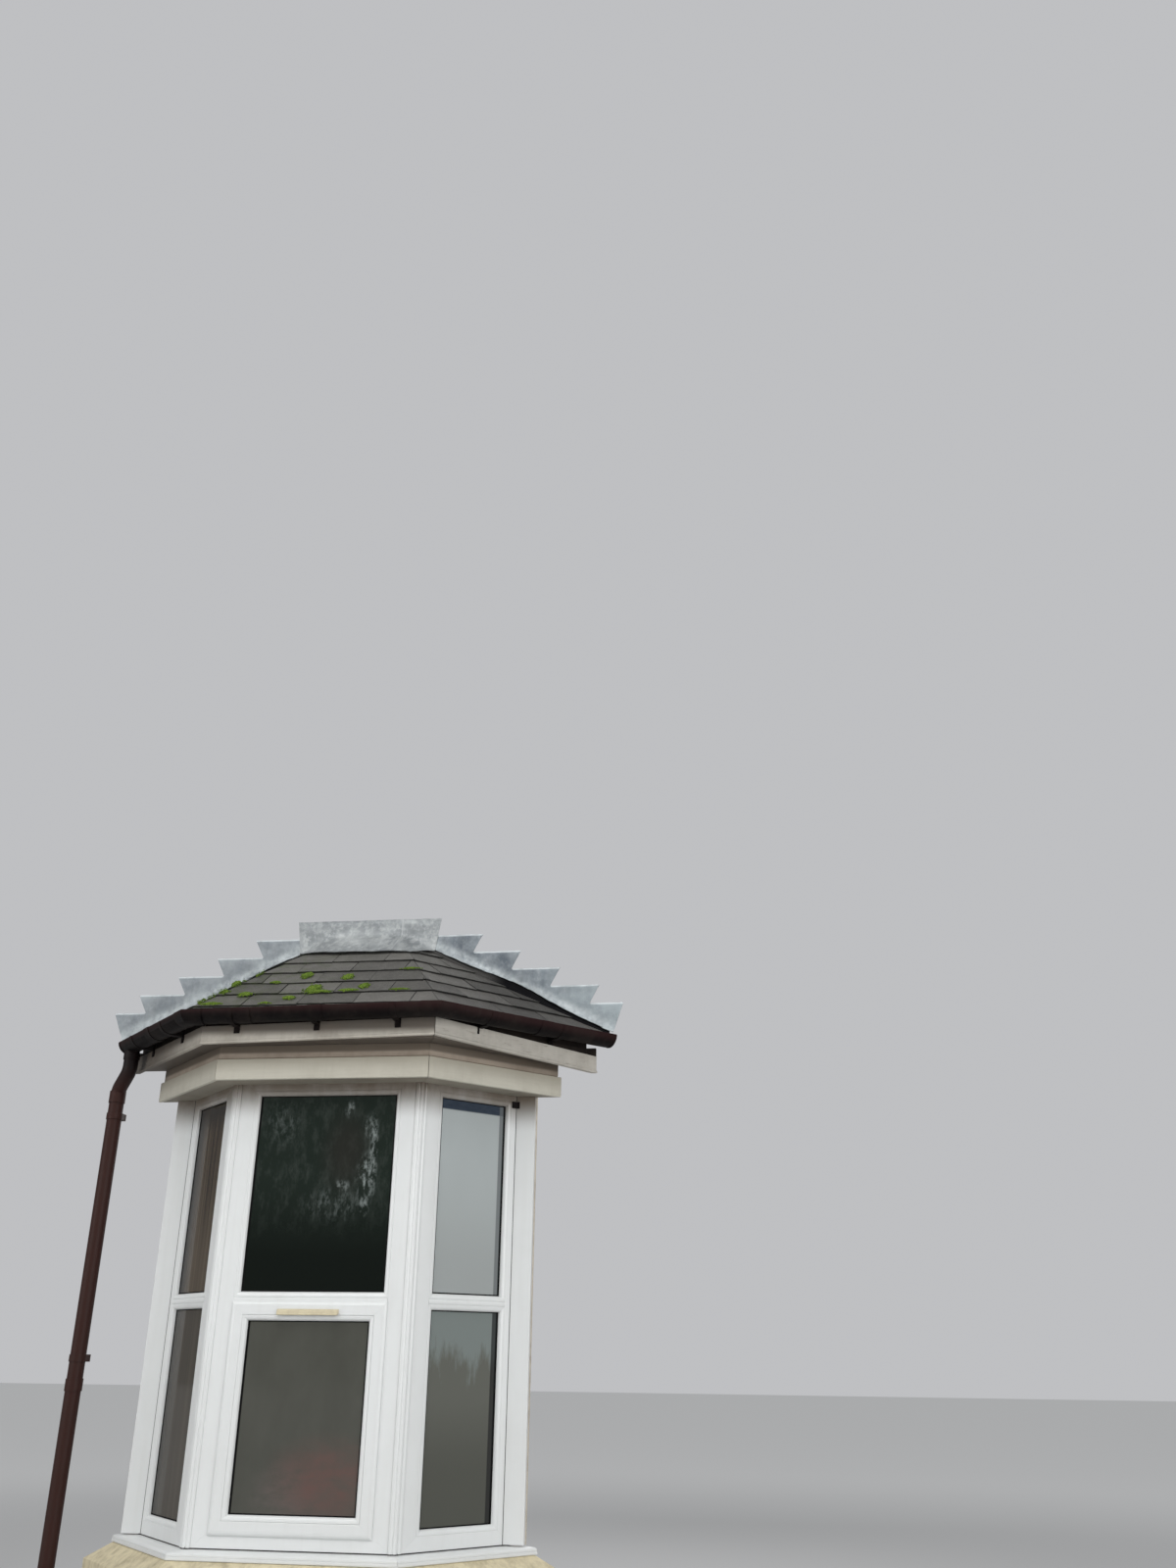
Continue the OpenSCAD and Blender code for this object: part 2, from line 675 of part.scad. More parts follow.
// What lies under the three slopes, raised by "up"
module under_roof(up) {
    intersection() {
        front_run(far) layer(front_rise, -projection, eaves_out, up, far);
        side_run_of() layer(side_rise, -wall_half * 2, eaves_out, up, far);
        left() side_run_of() layer(side_rise, -wall_half * 2, eaves_out, up, far);
    }
}
module apron_flashing() {
    low_x = hip_x(-apron_run);
    upstand_z = step_z + step_rise * flashing_steps;
    color("lightsteelblue") {
        rotate([90, 0, 0]) linear_extrude(lead_t) polygon([[-apron_half, upstand_z], [apron_half, upstand_z],
            [apron_foot, lead_foot(apron_foot)], [top_half, lead_foot(top_half)],
            [-top_half, lead_foot(top_half)], [-apron_foot, lead_foot(apron_foot)]]);
        difference() {
            intersection() {
                under_roof(lead_t);
                slab(0, far * 2) polygon([[-apron_foot, 0], [apron_foot, 0], [low_x, -apron_run],
                    [-low_x, -apron_run]]);
            }
            under_roof(0);
        }
    }
}

gutter_out = fascia_out + gutter_gap + gutter_r;
gutter_z = eaves_z - gutter_drop;
gutter_s = (projection + ny * (gutter_out - gutter_r) - gutter_wall_gap) / nx;
gutter_left_s = gutter_s - gutter_short;
gutter_right_s = gutter_s + gutter_long;
arc_steps = 20;
lip_angle = asin(gutter_lip / gutter_r);
// The arc of the gutter about its centre, as points from the fascia outward
function half_circle(r) = [for (i = [0 : arc_steps])
    let (a = 180 + lip_angle + (180 - 2 * lip_angle) * i / arc_steps)
    [gutter_out + r * cos(a), gutter_z + r * sin(a)]];
function reversed(list) = [for (i = [len(list) - 1 : -1 : 0]) list[i]];
module half_ring(r_out, r_in) { polygon(concat(half_circle(r_out), reversed(half_circle(r_in)))); }
module half_disc(r) { polygon(half_circle(r)); }
// The length of gutter along one side, with its stop end
module gutter_arm(s) {
    intersection() {
        side_run_of(-far, s) half_ring(gutter_r, gutter_r - gutter_t);
        slab(0, far * 2) side_area(fascia_out, gutter_out + gutter_r + cut);
    }
    side_run_of(s - gutter_t, s) half_disc(gutter_r);
}
module gutter() {
    color("#3a2320") difference() {
        union() {
            intersection() {
                front_run(wall_x(0)) half_ring(gutter_r, gutter_r - gutter_t);
                slab(0, far * 2) front_area(fascia_out, gutter_out + gutter_r + cut);
            }
            left() gutter_arm(gutter_left_s);
            gutter_arm(gutter_right_s);
        }
        translate([0, -gutter_wall_gap, 0]) cube(far);
        translate([-outlet_place[0], outlet_place[1], outlet_z])
            cylinder(r = pipe_r - gutter_t, h = gutter_z - outlet_z, $fn = round_fn);
    }
}

// A strap under the gutter, a plate on the fascia and a strut between them
module bracket_section() {
    half_ring(gutter_r + bracket_t, gutter_r + eps);
    translate([fascia_out, gutter_z - gutter_r - bracket_plate_h])
        square([gutter_gap - bracket_t / 2, gutter_r + bracket_plate_h]);
    translate([fascia_out, gutter_z - gutter_r - 3 / 2 * bracket_t])
        square([gutter_gap + gutter_r, bracket_t]);
}
bracket_x = front_half - bracket_inset;
bracket_far_s = gutter_s - bracket_end;
module gutter_brackets() {
    color("#2c1a18") {
        for (x = [-bracket_x, 0, bracket_x]) translate([x + bracket_w / 2, -projection, 0])
            rotate([90, 0, -90]) linear_extrude(bracket_w) bracket_section();
        both_sides() for (s = [bracket_s, bracket_far_s])
            side_run_of(s - bracket_w / 2, s + bracket_w / 2) bracket_section();
    }
}

// A round bar from one place to another
module bar(a, b, r) {
    d = b - a;
    run = sqrt(d[0] * d[0] + d[1] * d[1]);
    translate(a) rotate([0, atan2(run, d[2]), atan2(d[1], d[0])])
        cylinder(r = r, h = sqrt(run * run + d[2] * d[2]), $fn = round_fn);
}
// The swan neck runs from the gutter's outlet to the top of the downpipe
outlet_place = side_point(gutter_left_s - outlet_inset, gutter_out);
outlet_top = gutter_z - gutter_r - eps;
outlet_z = outlet_top - outlet_drop;
bend_z = outlet_z - bend_fall;
pipe_x = outlet_place[0] + pipe_shift;
module pipe_route(r, socket_r, over) {
    a = [-outlet_place[0], outlet_place[1], outlet_z];
    b = [-pipe_x, -pipe_y, bend_z];
    translate(a) cylinder(r = r, h = outlet_top - outlet_z + over, $fn = round_fn);
    translate(a) sphere(socket_r, $fn = round_fn);
    bar(a, b, r);
    translate(b) sphere(socket_r, $fn = round_fn);
    translate([b[0], b[1], shoe_z - over]) cylinder(r = r, h = bend_z - shoe_z + over, $fn = round_fn);
}
module downpipe() {
    color("#3a2320") difference() {
        pipe_route(pipe_r, pipe_r + bend_r_more, 0);
        pipe_route(pipe_r - gutter_t, pipe_r, cut);
    }
}
module pipe_clips() {
    color("#2c1a18") for (k = clip_shares)
        translate([-pipe_x, -pipe_y, shoe_z + k * (bend_z - shoe_z)]) difference() {
        union() {
            cylinder(r = pipe_r + eps + gutter_t, h = clip_band_h, $fn = round_fn);
            translate([-pipe_r, 0, 0]) cube([2 * pipe_r, pipe_y, clip_band_h]);
        }
        translate([0, 0, -cut]) cylinder(r = pipe_r + eps, h = clip_band_h + 2 * cut, $fn = round_fn);
    }
}

// The wall's face stands behind the middle of the depth by half the depth
wall_y = (projection + gutter_out + gutter_r + bracket_t) / 2;
module placed() { translate([0, wall_y, 0]) children(); }

placed() base_wall_front();
placed() left() base_wall_right();  // base_wall_left
placed() base_wall_right();
placed() stone_sill_front();
placed() left() stone_sill_right();  // stone_sill_left
placed() stone_sill_right();
placed() frame_sill();
placed() frame_front();
placed() left() frame_right();  // frame_left
placed() frame_right();
placed() sash_front();
placed() glass_front_upper();
placed() glass_front_sash();
placed() left() glass_right();  // glass_left
placed() glass_right();
placed() left() corner_post_right();  // corner_post_left
placed() corner_post_right();
placed() left() wall_trim_right();  // wall_trim_left
placed() wall_trim_right();
placed() packing_studs();
placed() trickle_vent();
placed() black_clip();
placed() window_board();
placed() ceiling();
placed() head_beam();
placed() frieze_soffit();
placed() frieze_front();
placed() left() frieze_right();  // frieze_left
placed() frieze_right();
placed() bed_board();
placed() eaves_soffit();
placed() fascia_front();
placed() fascia_left();
placed() fascia_right();
placed() rafters();
placed() wall_ledger();
placed() slates_front();
placed() left() slates_right();  // slates_left
placed() slates_right();
placed() step_flashings();
placed() apron_flashing();
placed() gutter();
placed() gutter_brackets();
placed() downpipe();
placed() pipe_clips();
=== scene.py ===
"""Canted bay window with a slate roof: the looks of each piece, in the order the bay is put together."""

import math
import random

import bmesh
import bpy
from mathutils import Matrix, Vector, noise


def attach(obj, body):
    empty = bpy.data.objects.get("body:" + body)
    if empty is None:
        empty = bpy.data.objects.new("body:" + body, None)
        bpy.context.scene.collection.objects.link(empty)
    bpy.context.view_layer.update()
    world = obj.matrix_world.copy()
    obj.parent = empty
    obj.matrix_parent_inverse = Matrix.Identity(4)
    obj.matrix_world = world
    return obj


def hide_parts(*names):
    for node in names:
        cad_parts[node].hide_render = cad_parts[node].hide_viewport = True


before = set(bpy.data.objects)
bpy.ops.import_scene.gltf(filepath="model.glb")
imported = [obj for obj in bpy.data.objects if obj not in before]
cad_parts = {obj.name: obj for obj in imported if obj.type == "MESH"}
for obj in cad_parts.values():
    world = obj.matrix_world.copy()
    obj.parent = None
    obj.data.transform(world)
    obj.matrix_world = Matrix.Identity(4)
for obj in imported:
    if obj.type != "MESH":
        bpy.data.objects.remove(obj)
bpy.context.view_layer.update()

# The street side: camera, overcast light and pale ground
# The bay is seen from the pavement, a little to its right and from below. The lens is that of a
# phone held upright, so it keeps its centre and has no shift.
CAMERA_AT = Vector((1.9308, -5.6727, 1.5167))
YAW, PITCH, ROLL = (math.radians(a) for a in (7.992, 23.506, 0.703))
LENS_MM = 30.19


def placed(name, data):
    """A new object in the scene."""
    made = bpy.data.objects.new(name, data)
    bpy.context.scene.collection.objects.link(made)
    return made


ahead = Vector((-math.sin(YAW) * math.cos(PITCH), math.cos(YAW) * math.cos(PITCH), math.sin(PITCH)))
level = Vector((math.cos(YAW), math.sin(YAW), 0))
upward = level.cross(ahead)
right = math.cos(ROLL) * level + math.sin(ROLL) * upward
top = -math.sin(ROLL) * level + math.cos(ROLL) * upward
camera_data = bpy.data.cameras.new("camera")
camera_data.lens, camera_data.sensor_width, camera_data.clip_end = LENS_MM, 36, 200
camera = placed("camera", camera_data)
camera.matrix_world = Matrix.Translation(CAMERA_AT) @ Matrix((right, top, -ahead)).transposed().to_4x4()
bpy.context.scene.camera = camera
bpy.context.scene.view_settings.view_transform = "Standard"


def give(socket, value):
    """Sets a node's input to a plain value, or links another node's output to it."""
    if isinstance(value, bpy.types.NodeSocket):
        socket.id_data.links.new(value, socket)
    else:
        socket.default_value = (*value, 1) if socket.type == "RGBA" else value


def add(tree, kind, inputs=(), **settings):
    """A node of that kind, with its settings and with its inputs given as values or outputs."""
    made = tree.nodes.new(kind)
    for key, value in settings.items():
        setattr(made, key, value)
    for key, value in dict(inputs).items():
        give(made.inputs[key], value)
    return made


world = bpy.data.worlds.new("overcast sky")
bpy.context.scene.world = world
world.use_nodes = True
sky = world.node_tree
low_light = sky.nodes["Background"]
give(low_light.inputs["Color"], (0.80, 0.82, 0.84))
give(low_light.inputs["Strength"], 0.285)
backdrop = add(sky, "ShaderNodeBackground", {"Color": (0.52, 0.525, 0.54)})
rays = add(sky, "ShaderNodeLightPath")
either = add(sky, "ShaderNodeMixShader", {"Fac": rays.outputs["Is Camera Ray"], 1: low_light.outputs[0],
                                          2: backdrop.outputs[0]})
give(sky.nodes["World Output"].inputs["Surface"], either.outputs[0])


def area_light(name, place, aim, size, power):
    """A soft panel of light at a place, turned to what it lights."""
    data = bpy.data.lights.new(name, "AREA")
    data.shape, data.size, data.energy = "SQUARE", size, power
    lamp = placed(name, data)
    lamp.location = place
    lamp.rotation_mode = "QUATERNION"
    lamp.rotation_quaternion = (Vector(aim) - Vector(place)).to_track_quat("-Z", "Y")


area_light("sky panel", (-0.6, -4.9, 8.4), (0, 0, 1.5), 6.5, 425)
area_light("right panel", (5.2, -4.2, 2.9), (0, 0, 1.5), 3.5, 178)
area_light("left panel", (-5.4, -4.0, 2.9), (0, 0, 1.5), 3.5, 105)
area_light("back panel", (0.5, 6.0, 5.5), (0, 0, 1.6), 5.0, 130)


def material(name, rough=0.5, metallic=0.0, specular=0.5):
    """A new material, its node tree and its surface shader."""
    made = bpy.data.materials.new(name)
    made.use_nodes = True
    shader = made.node_tree.nodes["Principled BSDF"]
    for key, value in (("Roughness", rough), ("Metallic", metallic), ("Specular IOR Level", specular)):
        give(shader.inputs[key], value)
    return made, made.node_tree, shader


def place_in(tree):
    """The object's own coordinates."""
    return add(tree, "ShaderNodeTexCoord").outputs["Object"]


def measured(tree, operation, *vectors):
    """The length of a vector or the dot product of two."""
    return add(tree, "ShaderNodeVectorMath", dict(enumerate(vectors)), operation=operation).outputs["Value"]


ground_finish, tree, shader = material("pale ground", 0.9)
# The ground glows more the farther it lies from the bay: painted light that keeps the far ground pale.
away = measured(tree, "LENGTH", place_in(tree))
far = add(tree, "ShaderNodeMapRange", {"Value": away, "From Min": 2.5, "From Max": 16.0, "To Max": 0.42},
          interpolation_type="SMOOTHSTEP")
give(shader.inputs["Base Color"], (0.60, 0.60, 0.60))
give(shader.inputs["Emission Color"], (0.60, 0.605, 0.61))
give(shader.inputs["Emission Strength"], far.outputs[0])
ground_mesh = bpy.data.meshes.new("ground")
ground_mesh.from_pydata([(-60, -60, -0.002), (60, -60, -0.002), (60, 60, -0.002), (-60, 60, -0.002)],
                        [], [(0, 1, 2, 3)])
ground_mesh.materials.append(ground_finish)
ground = placed("ground", ground_mesh)

# The brick base
# Seven courses of old hand-pressed bricks in Flemish bond carry the stone sill. The legs meet in
# squint bricks at the canted corners, and the joints are pointed a few millimetres back.
WALL_Y = 0.3735
PROJECTION = 0.400
FRONT_HALF, WALL_HALF = 0.426, 0.804
SIDE_LENGTH = math.hypot(WALL_HALF - FRONT_HALF, PROJECTION)
NX = PROJECTION / SIDE_LENGTH
NY = (WALL_HALF - FRONT_HALF) / SIDE_LENGTH
MITRE = (1 - NY) / NX
SIDE_TURN = math.atan2(NX, NY)


def corner_x(out):
    """How far from the middle the front corner lies, at a distance out from the frames."""
    return FRONT_HALF + out * MITRE


def front_y(out):
    """Depth of the front leg at a distance out from the frames."""
    return WALL_Y - PROJECTION - out


def wall_x(out):
    """How far from the middle a side leg meets the wall."""
    return WALL_HALF + out / NX


def mirrored(vector):
    """The same place on the other side of the bay."""
    return Vector((-vector.x, vector.y, vector.z))


def on_front(along, out, z):
    """A place on the front leg: along it from its middle, out from the frames' face, and up."""
    return Vector((along, front_y(out), z))


def on_right(along, out, z):
    """A place on the right leg: along it from the corner toward the wall."""
    return Vector((FRONT_HALF + NY * along + NX * out, WALL_Y - PROJECTION + NX * along - NY * out, z))


def on_left(along, out, z):
    """A place on the left leg, which mirrors the right one."""
    return mirrored(on_right(along, out, z))


LEGS = {"left": on_left, "front": on_front, "right": on_right}
# The plane on which the front and the right leg meet, as a point and a normal toward the front leg
MITRE_POINT = Vector((FRONT_HALF, WALL_Y - PROJECTION, 0))
MITRE_NORMAL = Vector((-1, -MITRE, 0)).normalized()


def split(bm, point, normal, **settings):
    """Splits the faces that cross a plane."""
    return bmesh.ops.bisect_plane(bm, geom=bm.verts[:] + bm.edges[:] + bm.faces[:], dist=1e-6, plane_co=point,
                                  plane_no=normal, **settings)


def cut(bm, point, normal):
    """Takes away what lies on the normal's side of a plane, and closes the cut."""
    found = split(bm, point, normal, clear_outer=True)
    edges = [e for e in found["geom_cut"] if isinstance(e, bmesh.types.BMEdge) and e.is_boundary]
    if edges:
        bmesh.ops.holes_fill(bm, edges=edges, sides=0)


def cut_at_wall(bm, back=0.0):
    """Ends a shape at the face of the wall, or a little before it."""
    cut(bm, Vector((0, WALL_Y - back, 0)), Vector((0, 1, 0)))


def cut_to_leg(bm, leg):
    """Keeps what belongs to one leg, between its mitres and the wall."""
    kept = -1 if leg == "front" else 1
    if leg != "left":
        cut(bm, MITRE_POINT, MITRE_NORMAL * kept)
    if leg != "right":
        cut(bm, mirrored(MITRE_POINT), mirrored(MITRE_NORMAL) * kept)
    cut_at_wall(bm)


def finished(name, bm, finish, replaced=(), smooth=35, edge=0.0, recalc=True):
    """Turns a shape into a piece of the bay: normals outward, edges eased, material and frame set."""
    if recalc:
        bmesh.ops.recalc_face_normals(bm, faces=bm.faces)
    mesh = bpy.data.meshes.new(name)
    bm.to_mesh(mesh)
    bm.free()
    mesh.materials.append(finish)
    mesh.shade_smooth()
    mesh.set_sharp_from_angle(angle=math.radians(smooth))
    piece = placed(name, mesh)
    if edge:
        bevel = piece.modifiers.new("eased edges", "BEVEL")
        bevel.width, bevel.segments = edge, 2
        bevel.limit_method, bevel.angle_limit = "ANGLE", math.radians(30)
        bevel.harden_normals = True
    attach(piece, "root")
    if replaced:
        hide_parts(*replaced)


def drawn(bm, rings):
    """Joins rings of points into one closed length."""
    made = [[bm.verts.new(p) for p in ring] for ring in rings]
    for one, two in zip(made, made[1:]):
        for n in range(len(one)):
            bm.faces.new((one[n - 1], one[n], two[n], two[n - 1]))
    bm.faces.new(made[0][::-1])
    bm.faces.new(made[-1])
    return bm


def box(bm, place, along, out, height):
    """A box on a leg, given as low and high values along it, out from the frames and up."""
    section = [(along[i], out[j]) for i, j in ((0, 0), (1, 0), (1, 1), (0, 1))]
    return drawn(bm, [[place(a, o, z) for a, o in section] for z in height])


def new_group(name, kind, given, result):
    """An empty node group with named inputs and outputs, and the nodes that bring them in and out."""
    tree = bpy.data.node_groups.new(name, kind)
    for in_out, sockets in (("INPUT", given), ("OUTPUT", result)):
        for socket, socket_kind in sockets.items():
            tree.interface.new_socket(socket, in_out=in_out, socket_type="NodeSocket" + socket_kind)
    return tree, add(tree, "NodeGroupInput").outputs, add(tree, "NodeGroupOutput").inputs


def laying_tree():
    """Geometry nodes that lay one piece on every point, turned and sized by the point's own values."""
    tree, given, result = new_group("laying", "GeometryNodeTree",
                                    {"Points": "Geometry", "Piece": "Object", "Tilt": "Float", "Seed": "Int",
                                     "Finish": "Material"}, {"Laid": "Geometry"})
    turn, size = (add(tree, "GeometryNodeInputNamedAttribute", {"Name": name}, data_type="FLOAT_VECTOR")
                  for name in ("turn", "size"))
    chance = add(tree, "FunctionNodeRandomValue", {0: (-1, -1, -1), 1: (1, 1, 1), "Seed": given["Seed"]},
                 data_type="FLOAT_VECTOR")
    swing = add(tree, "ShaderNodeVectorMath", {0: chance.outputs[0], "Scale": given["Tilt"]},
                operation="SCALE")
    total = add(tree, "ShaderNodeVectorMath", {0: turn.outputs["Attribute"], 1: swing.outputs[0]},
                operation="ADD")
    euler = add(tree, "FunctionNodeEulerToRotation", {0: total.outputs[0]})
    piece = add(tree, "GeometryNodeObjectInfo", {"Object": given["Piece"], "As Instance": True})
    lay = add(tree, "GeometryNodeInstanceOnPoints",
              {"Points": given["Points"], "Instance": piece.outputs["Geometry"], "Rotation": euler.outputs[0],
               "Scale": size.outputs["Attribute"]})
    tone = add(tree, "FunctionNodeRandomValue", {"Seed": given["Seed"]}, data_type="FLOAT")
    store = add(tree, "GeometryNodeStoreNamedAttribute",
                {"Geometry": lay.outputs[0], "Name": "tone", "Value": tone.outputs[1]},
                data_type="FLOAT", domain="INSTANCE")
    real = add(tree, "GeometryNodeRealizeInstances", {0: store.outputs[0]})
    paint = add(tree, "GeometryNodeSetMaterial", {"Geometry": real.outputs[0], "Material": given["Finish"]})
    give(result[0], paint.outputs[0])
    return tree


LAYING = laying_tree()


def laid(name, places, piece, finish, seed, tilt=0.0):
    """Lays a piece on a list of (place, turn, size) and gives the result as one plain mesh."""
    points = bpy.data.meshes.new(name + " points")
    points.from_pydata([p for p, _, _ in places], [], [])
    for key, index in (("turn", 1), ("size", 2)):
        values = points.attributes.new(key, "FLOAT_VECTOR", "POINT")
        values.data.foreach_set("vector", [c for row in places for c in row[index]])
    pattern_mesh = bpy.data.meshes.new(name + " pattern")
    piece.to_mesh(pattern_mesh)
    piece.free()
    pattern, host = placed(name + " pattern", pattern_mesh), placed(name + " host", points)
    modifier = host.modifiers.new("laying", "NODES")
    modifier.node_group = LAYING
    wanted = {"Piece": pattern, "Tilt": tilt, "Seed": seed, "Finish": finish}
    for socket in LAYING.interface.items_tree:
        if socket.name in wanted:
            modifier[socket.identifier] = wanted[socket.name]
    depsgraph = bpy.context.evaluated_depsgraph_get()
    mesh = bpy.data.meshes.new_from_object(host.evaluated_get(depsgraph), preserve_all_data_layers=True,
                                           depsgraph=depsgraph)
    for o in (pattern, host):
        bpy.data.objects.remove(o)
    return mesh


def joined(meshes):
    """Several meshes as one shape."""
    bm = bmesh.new()
    for mesh in meshes:
        bm.from_mesh(mesh)
    return bm


def reckon(tree, operation, *values, **settings):
    """A sum on values and outputs."""
    return add(tree, "ShaderNodeMath", dict(enumerate(values)), operation=operation, **settings).outputs[0]


def product(tree, first, *others):
    """Values and outputs multiplied with each other."""
    for other in others:
        first = reckon(tree, "MULTIPLY", first, other)
    return first


def between(tree, source, low, high, **settings):
    """A value stretched so that low becomes 0 and high becomes 1."""
    return add(tree, "ShaderNodeMapRange", {"Value": source, "From Min": low, "From Max": high},
               **settings).outputs[0]


def mixed(tree, factor, first, second, **settings):
    """One colour changed into another by a factor. Each is a plain colour or a node's output."""
    return add(tree, "ShaderNodeMix", {"Factor": factor, "A": first, "B": second}, data_type="RGBA",
               **settings).outputs["Result"]


def noise_at(place, scale, detail, roughness):
    """A noise on the coordinates that a mapping node gives."""
    inputs = {"Vector": place.outputs[0], "Scale": scale, "Detail": detail, "Roughness": roughness}
    return add(place.id_data, "ShaderNodeTexNoise", inputs).outputs["Fac"]


def noise_in(tree, scale, detail=4.0, roughness=0.5, stretch=(1, 1, 1)):
    """A noise on the object's own coordinates, stretched along an axis if asked."""
    place = add(tree, "ShaderNodeMapping", {"Vector": place_in(tree), "Scale": stretch})
    return noise_at(place, scale, detail, roughness)


def ramp_of(tree, source, stops):
    """A colour ramp over a value, given as (place, colour) stops."""
    ramp = add(tree, "ShaderNodeValToRGB", {"Fac": source})
    bar = ramp.color_ramp
    while len(bar.elements) < len(stops):
        bar.elements.new(0.5)
    for element, (place, color) in zip(bar.elements, stops):
        element.position = place
        element.color = (*color, 1)
    return ramp.outputs[0]


def weathering_group():
    """Dirt in patches and in runs down the face: gives the soiled colour and where the dirt lies."""
    tree, given, result = new_group("weathering", "ShaderNodeTree",
                                    {"Color": "Color", "Dirt": "Color", "Patches": "Float", "Runs": "Float",
                                     "Scale": "Float"}, {"Color": "Color", "Mask": "Float"})
    patches = between(tree, noise_in(tree, given["Scale"], 8.0, 0.65), 0.45, 0.72)
    runs = between(tree, noise_in(tree, 34.0, stretch=(1.0, 1.0, 0.06)), 0.5, 0.8)
    mask = reckon(tree, "ADD", product(tree, patches, given["Patches"]), product(tree, runs, given["Runs"]),
                  use_clamp=True)
    give(result["Color"], mixed(tree, mask, given["Color"], given["Dirt"]))
    give(result["Mask"], mask)
    return tree


WEATHERING = weathering_group()


def weathered(tree, shader, color, dirt, patches, runs, scale):
    """Soils a surface's colour with the weathering group and links it to the shader."""
    group = add(tree, "ShaderNodeGroup", {"Color": color, "Dirt": dirt, "Patches": patches, "Runs": runs,
                                          "Scale": scale}, node_tree=WEATHERING)
    give(shader.inputs["Base Color"], group.outputs["Color"])


def bumped(tree, shader, heights, strength, distance):
    """Links a height to the shader as a bump of that depth."""
    bump = add(tree, "ShaderNodeBump", {"Height": heights, "Strength": strength, "Distance": distance})
    give(shader.inputs["Normal"], bump.outputs[0])


def own(tree, name):
    """A value that the piece carries itself."""
    return add(tree, "ShaderNodeAttribute", attribute_name=name).outputs["Fac"]


brick_finish, tree, shader = material("fired clay", 0.9, specular=0.25)
blend = reckon(tree, "MULTIPLY_ADD", noise_in(tree, 28, 6, 0.7), 0.42, own(tree, "tone"))
clay = ramp_of(tree, blend, [(0.20, (0.030, 0.020, 0.018)), (0.42, (0.090, 0.036, 0.026)),
                             (0.85, (0.150, 0.052, 0.033)), (1.2, (0.25, 0.080, 0.036))])
weathered(tree, shader, clay, (0.030, 0.023, 0.020), 0.8, 0.25, 5)
bumped(tree, shader, noise_in(tree, 160, 6, 0.7), 0.5, 0.002)


def soiled(name, rough, specular, *soiling, grain=None, relief=()):
    """A finish in one weathered colour. Its relief, if any, is a noise with a strength and a depth."""
    finish, tree, shader = material(name, rough, specular=specular)
    weathered(tree, shader, *soiling)
    if grain:
        bumped(tree, shader, noise_in(tree, *grain), *relief)
    return finish


mortar_finish = soiled("lime mortar", 0.95, 0.2, (0.27, 0.215, 0.165), (0.10, 0.075, 0.06), 0.7, 0.3, 9,
                       grain=(300, 5, 0.7), relief=(0.6, 0.002))

BASE_H, COURSES = 0.619, 7
COURSE_H = BASE_H / COURSES
BRICK_OUT, BASE_T = 0.105, 0.225
BED, STRETCHER, HEADER, CLOSER = 0.0095, 0.222, 0.102, 0.050
BRICK_DEPTH, JOINT_BACK = 0.045, 0.005
SQUINT_EXTRA = 0.05
LONG_ARM, SHORT_ARM = 0.180, 0.120


def course_of(length, arm, both_ends):
    """Brick lengths of one course from a squint corner: Flemish bond, the last brick cut to fit."""
    bond = [HEADER, STRETCHER, HEADER] if arm == LONG_ARM else [STRETCHER, HEADER, STRETCHER]
    if both_ends:
        bond[1] += length - 2 * (arm + BED + CLOSER + BED) - sum(bond) - 2 * BED
        return [arm, CLOSER, *bond, CLOSER, arm]
    row, rest = [arm], length - arm
    for size in ([CLOSER, HEADER, STRETCHER, HEADER] if arm == LONG_ARM else bond):
        if rest - BED < size + CLOSER:
            return row + [rest - BED]
        row.append(size)
        rest -= BED + size
    return row + [rest - BED] if rest > CLOSER else row


def brick_shape():
    """One brick about the origin with eased edges, and with its corners worn unevenly."""
    bm = bmesh.new()
    bmesh.ops.create_cube(bm, size=1)
    bmesh.ops.scale(bm, vec=(STRETCHER, BRICK_DEPTH, COURSE_H - BED), verts=bm.verts)
    bmesh.ops.bevel(bm, geom=bm.edges[:], offset=0.004, segments=2, affect="EDGES", profile=0.5)
    chance = random.Random(5)
    for v in bm.verts:
        v.co += Vector([chance.uniform(-0.0012, 0.0012) for _ in range(3)])
    return bm


def brick_skin(leg, out, inward):
    """The bricks that show on one face of a leg."""
    turn = {"front": 0.0, "right": SIDE_TURN, "left": -SIDE_TURN}[leg]
    face = out - inward * BRICK_DEPTH / 2
    start, end = -out * MITRE, (PROJECTION + NY * out) / NX
    if leg == "front":
        start, end = -corner_x(out), corner_x(out)
    places = []
    for k in range(COURSES):
        long_first = (k % 2 == 0) == (leg == "front")
        row = course_of(end - start, LONG_ARM if long_first else SHORT_ARM, leg == "front")
        at = start
        for n, size in enumerate(row):
            low = at - (SQUINT_EXTRA if n == 0 else 0)
            high = at + size + (SQUINT_EXTRA if n == len(row) - 1 else 0)
            at += size + BED
            places.append((LEGS[leg]((low + high) / 2, face, (k + 0.5) * COURSE_H), (0, 0, turn),
                           ((high - low) / STRETCHER, 1, 1)))
    return laid(f"bricks {leg}", places, brick_shape(), brick_finish, 11 + len(leg) + int(out * 100), 0.004)


for leg in ("front", "right", "left"):
    bm = joined([brick_skin(leg, BRICK_OUT, 1), brick_skin(leg, BRICK_OUT - BASE_T, -1)])
    cut_to_leg(bm, leg)
    finished(f"bricks_{leg}", bm, brick_finish, (f"base_wall_{leg}",), recalc=False)
    bm = box(bmesh.new(), LEGS[leg], (-2.0, 2.0),
             (BRICK_OUT - BASE_T + JOINT_BACK, BRICK_OUT - JOINT_BACK), (0, BASE_H))
    cut_to_leg(bm, leg)
    cut_at_wall(bm, 0.002)
    finished(f"mortar_{leg}", bm, mortar_finish)
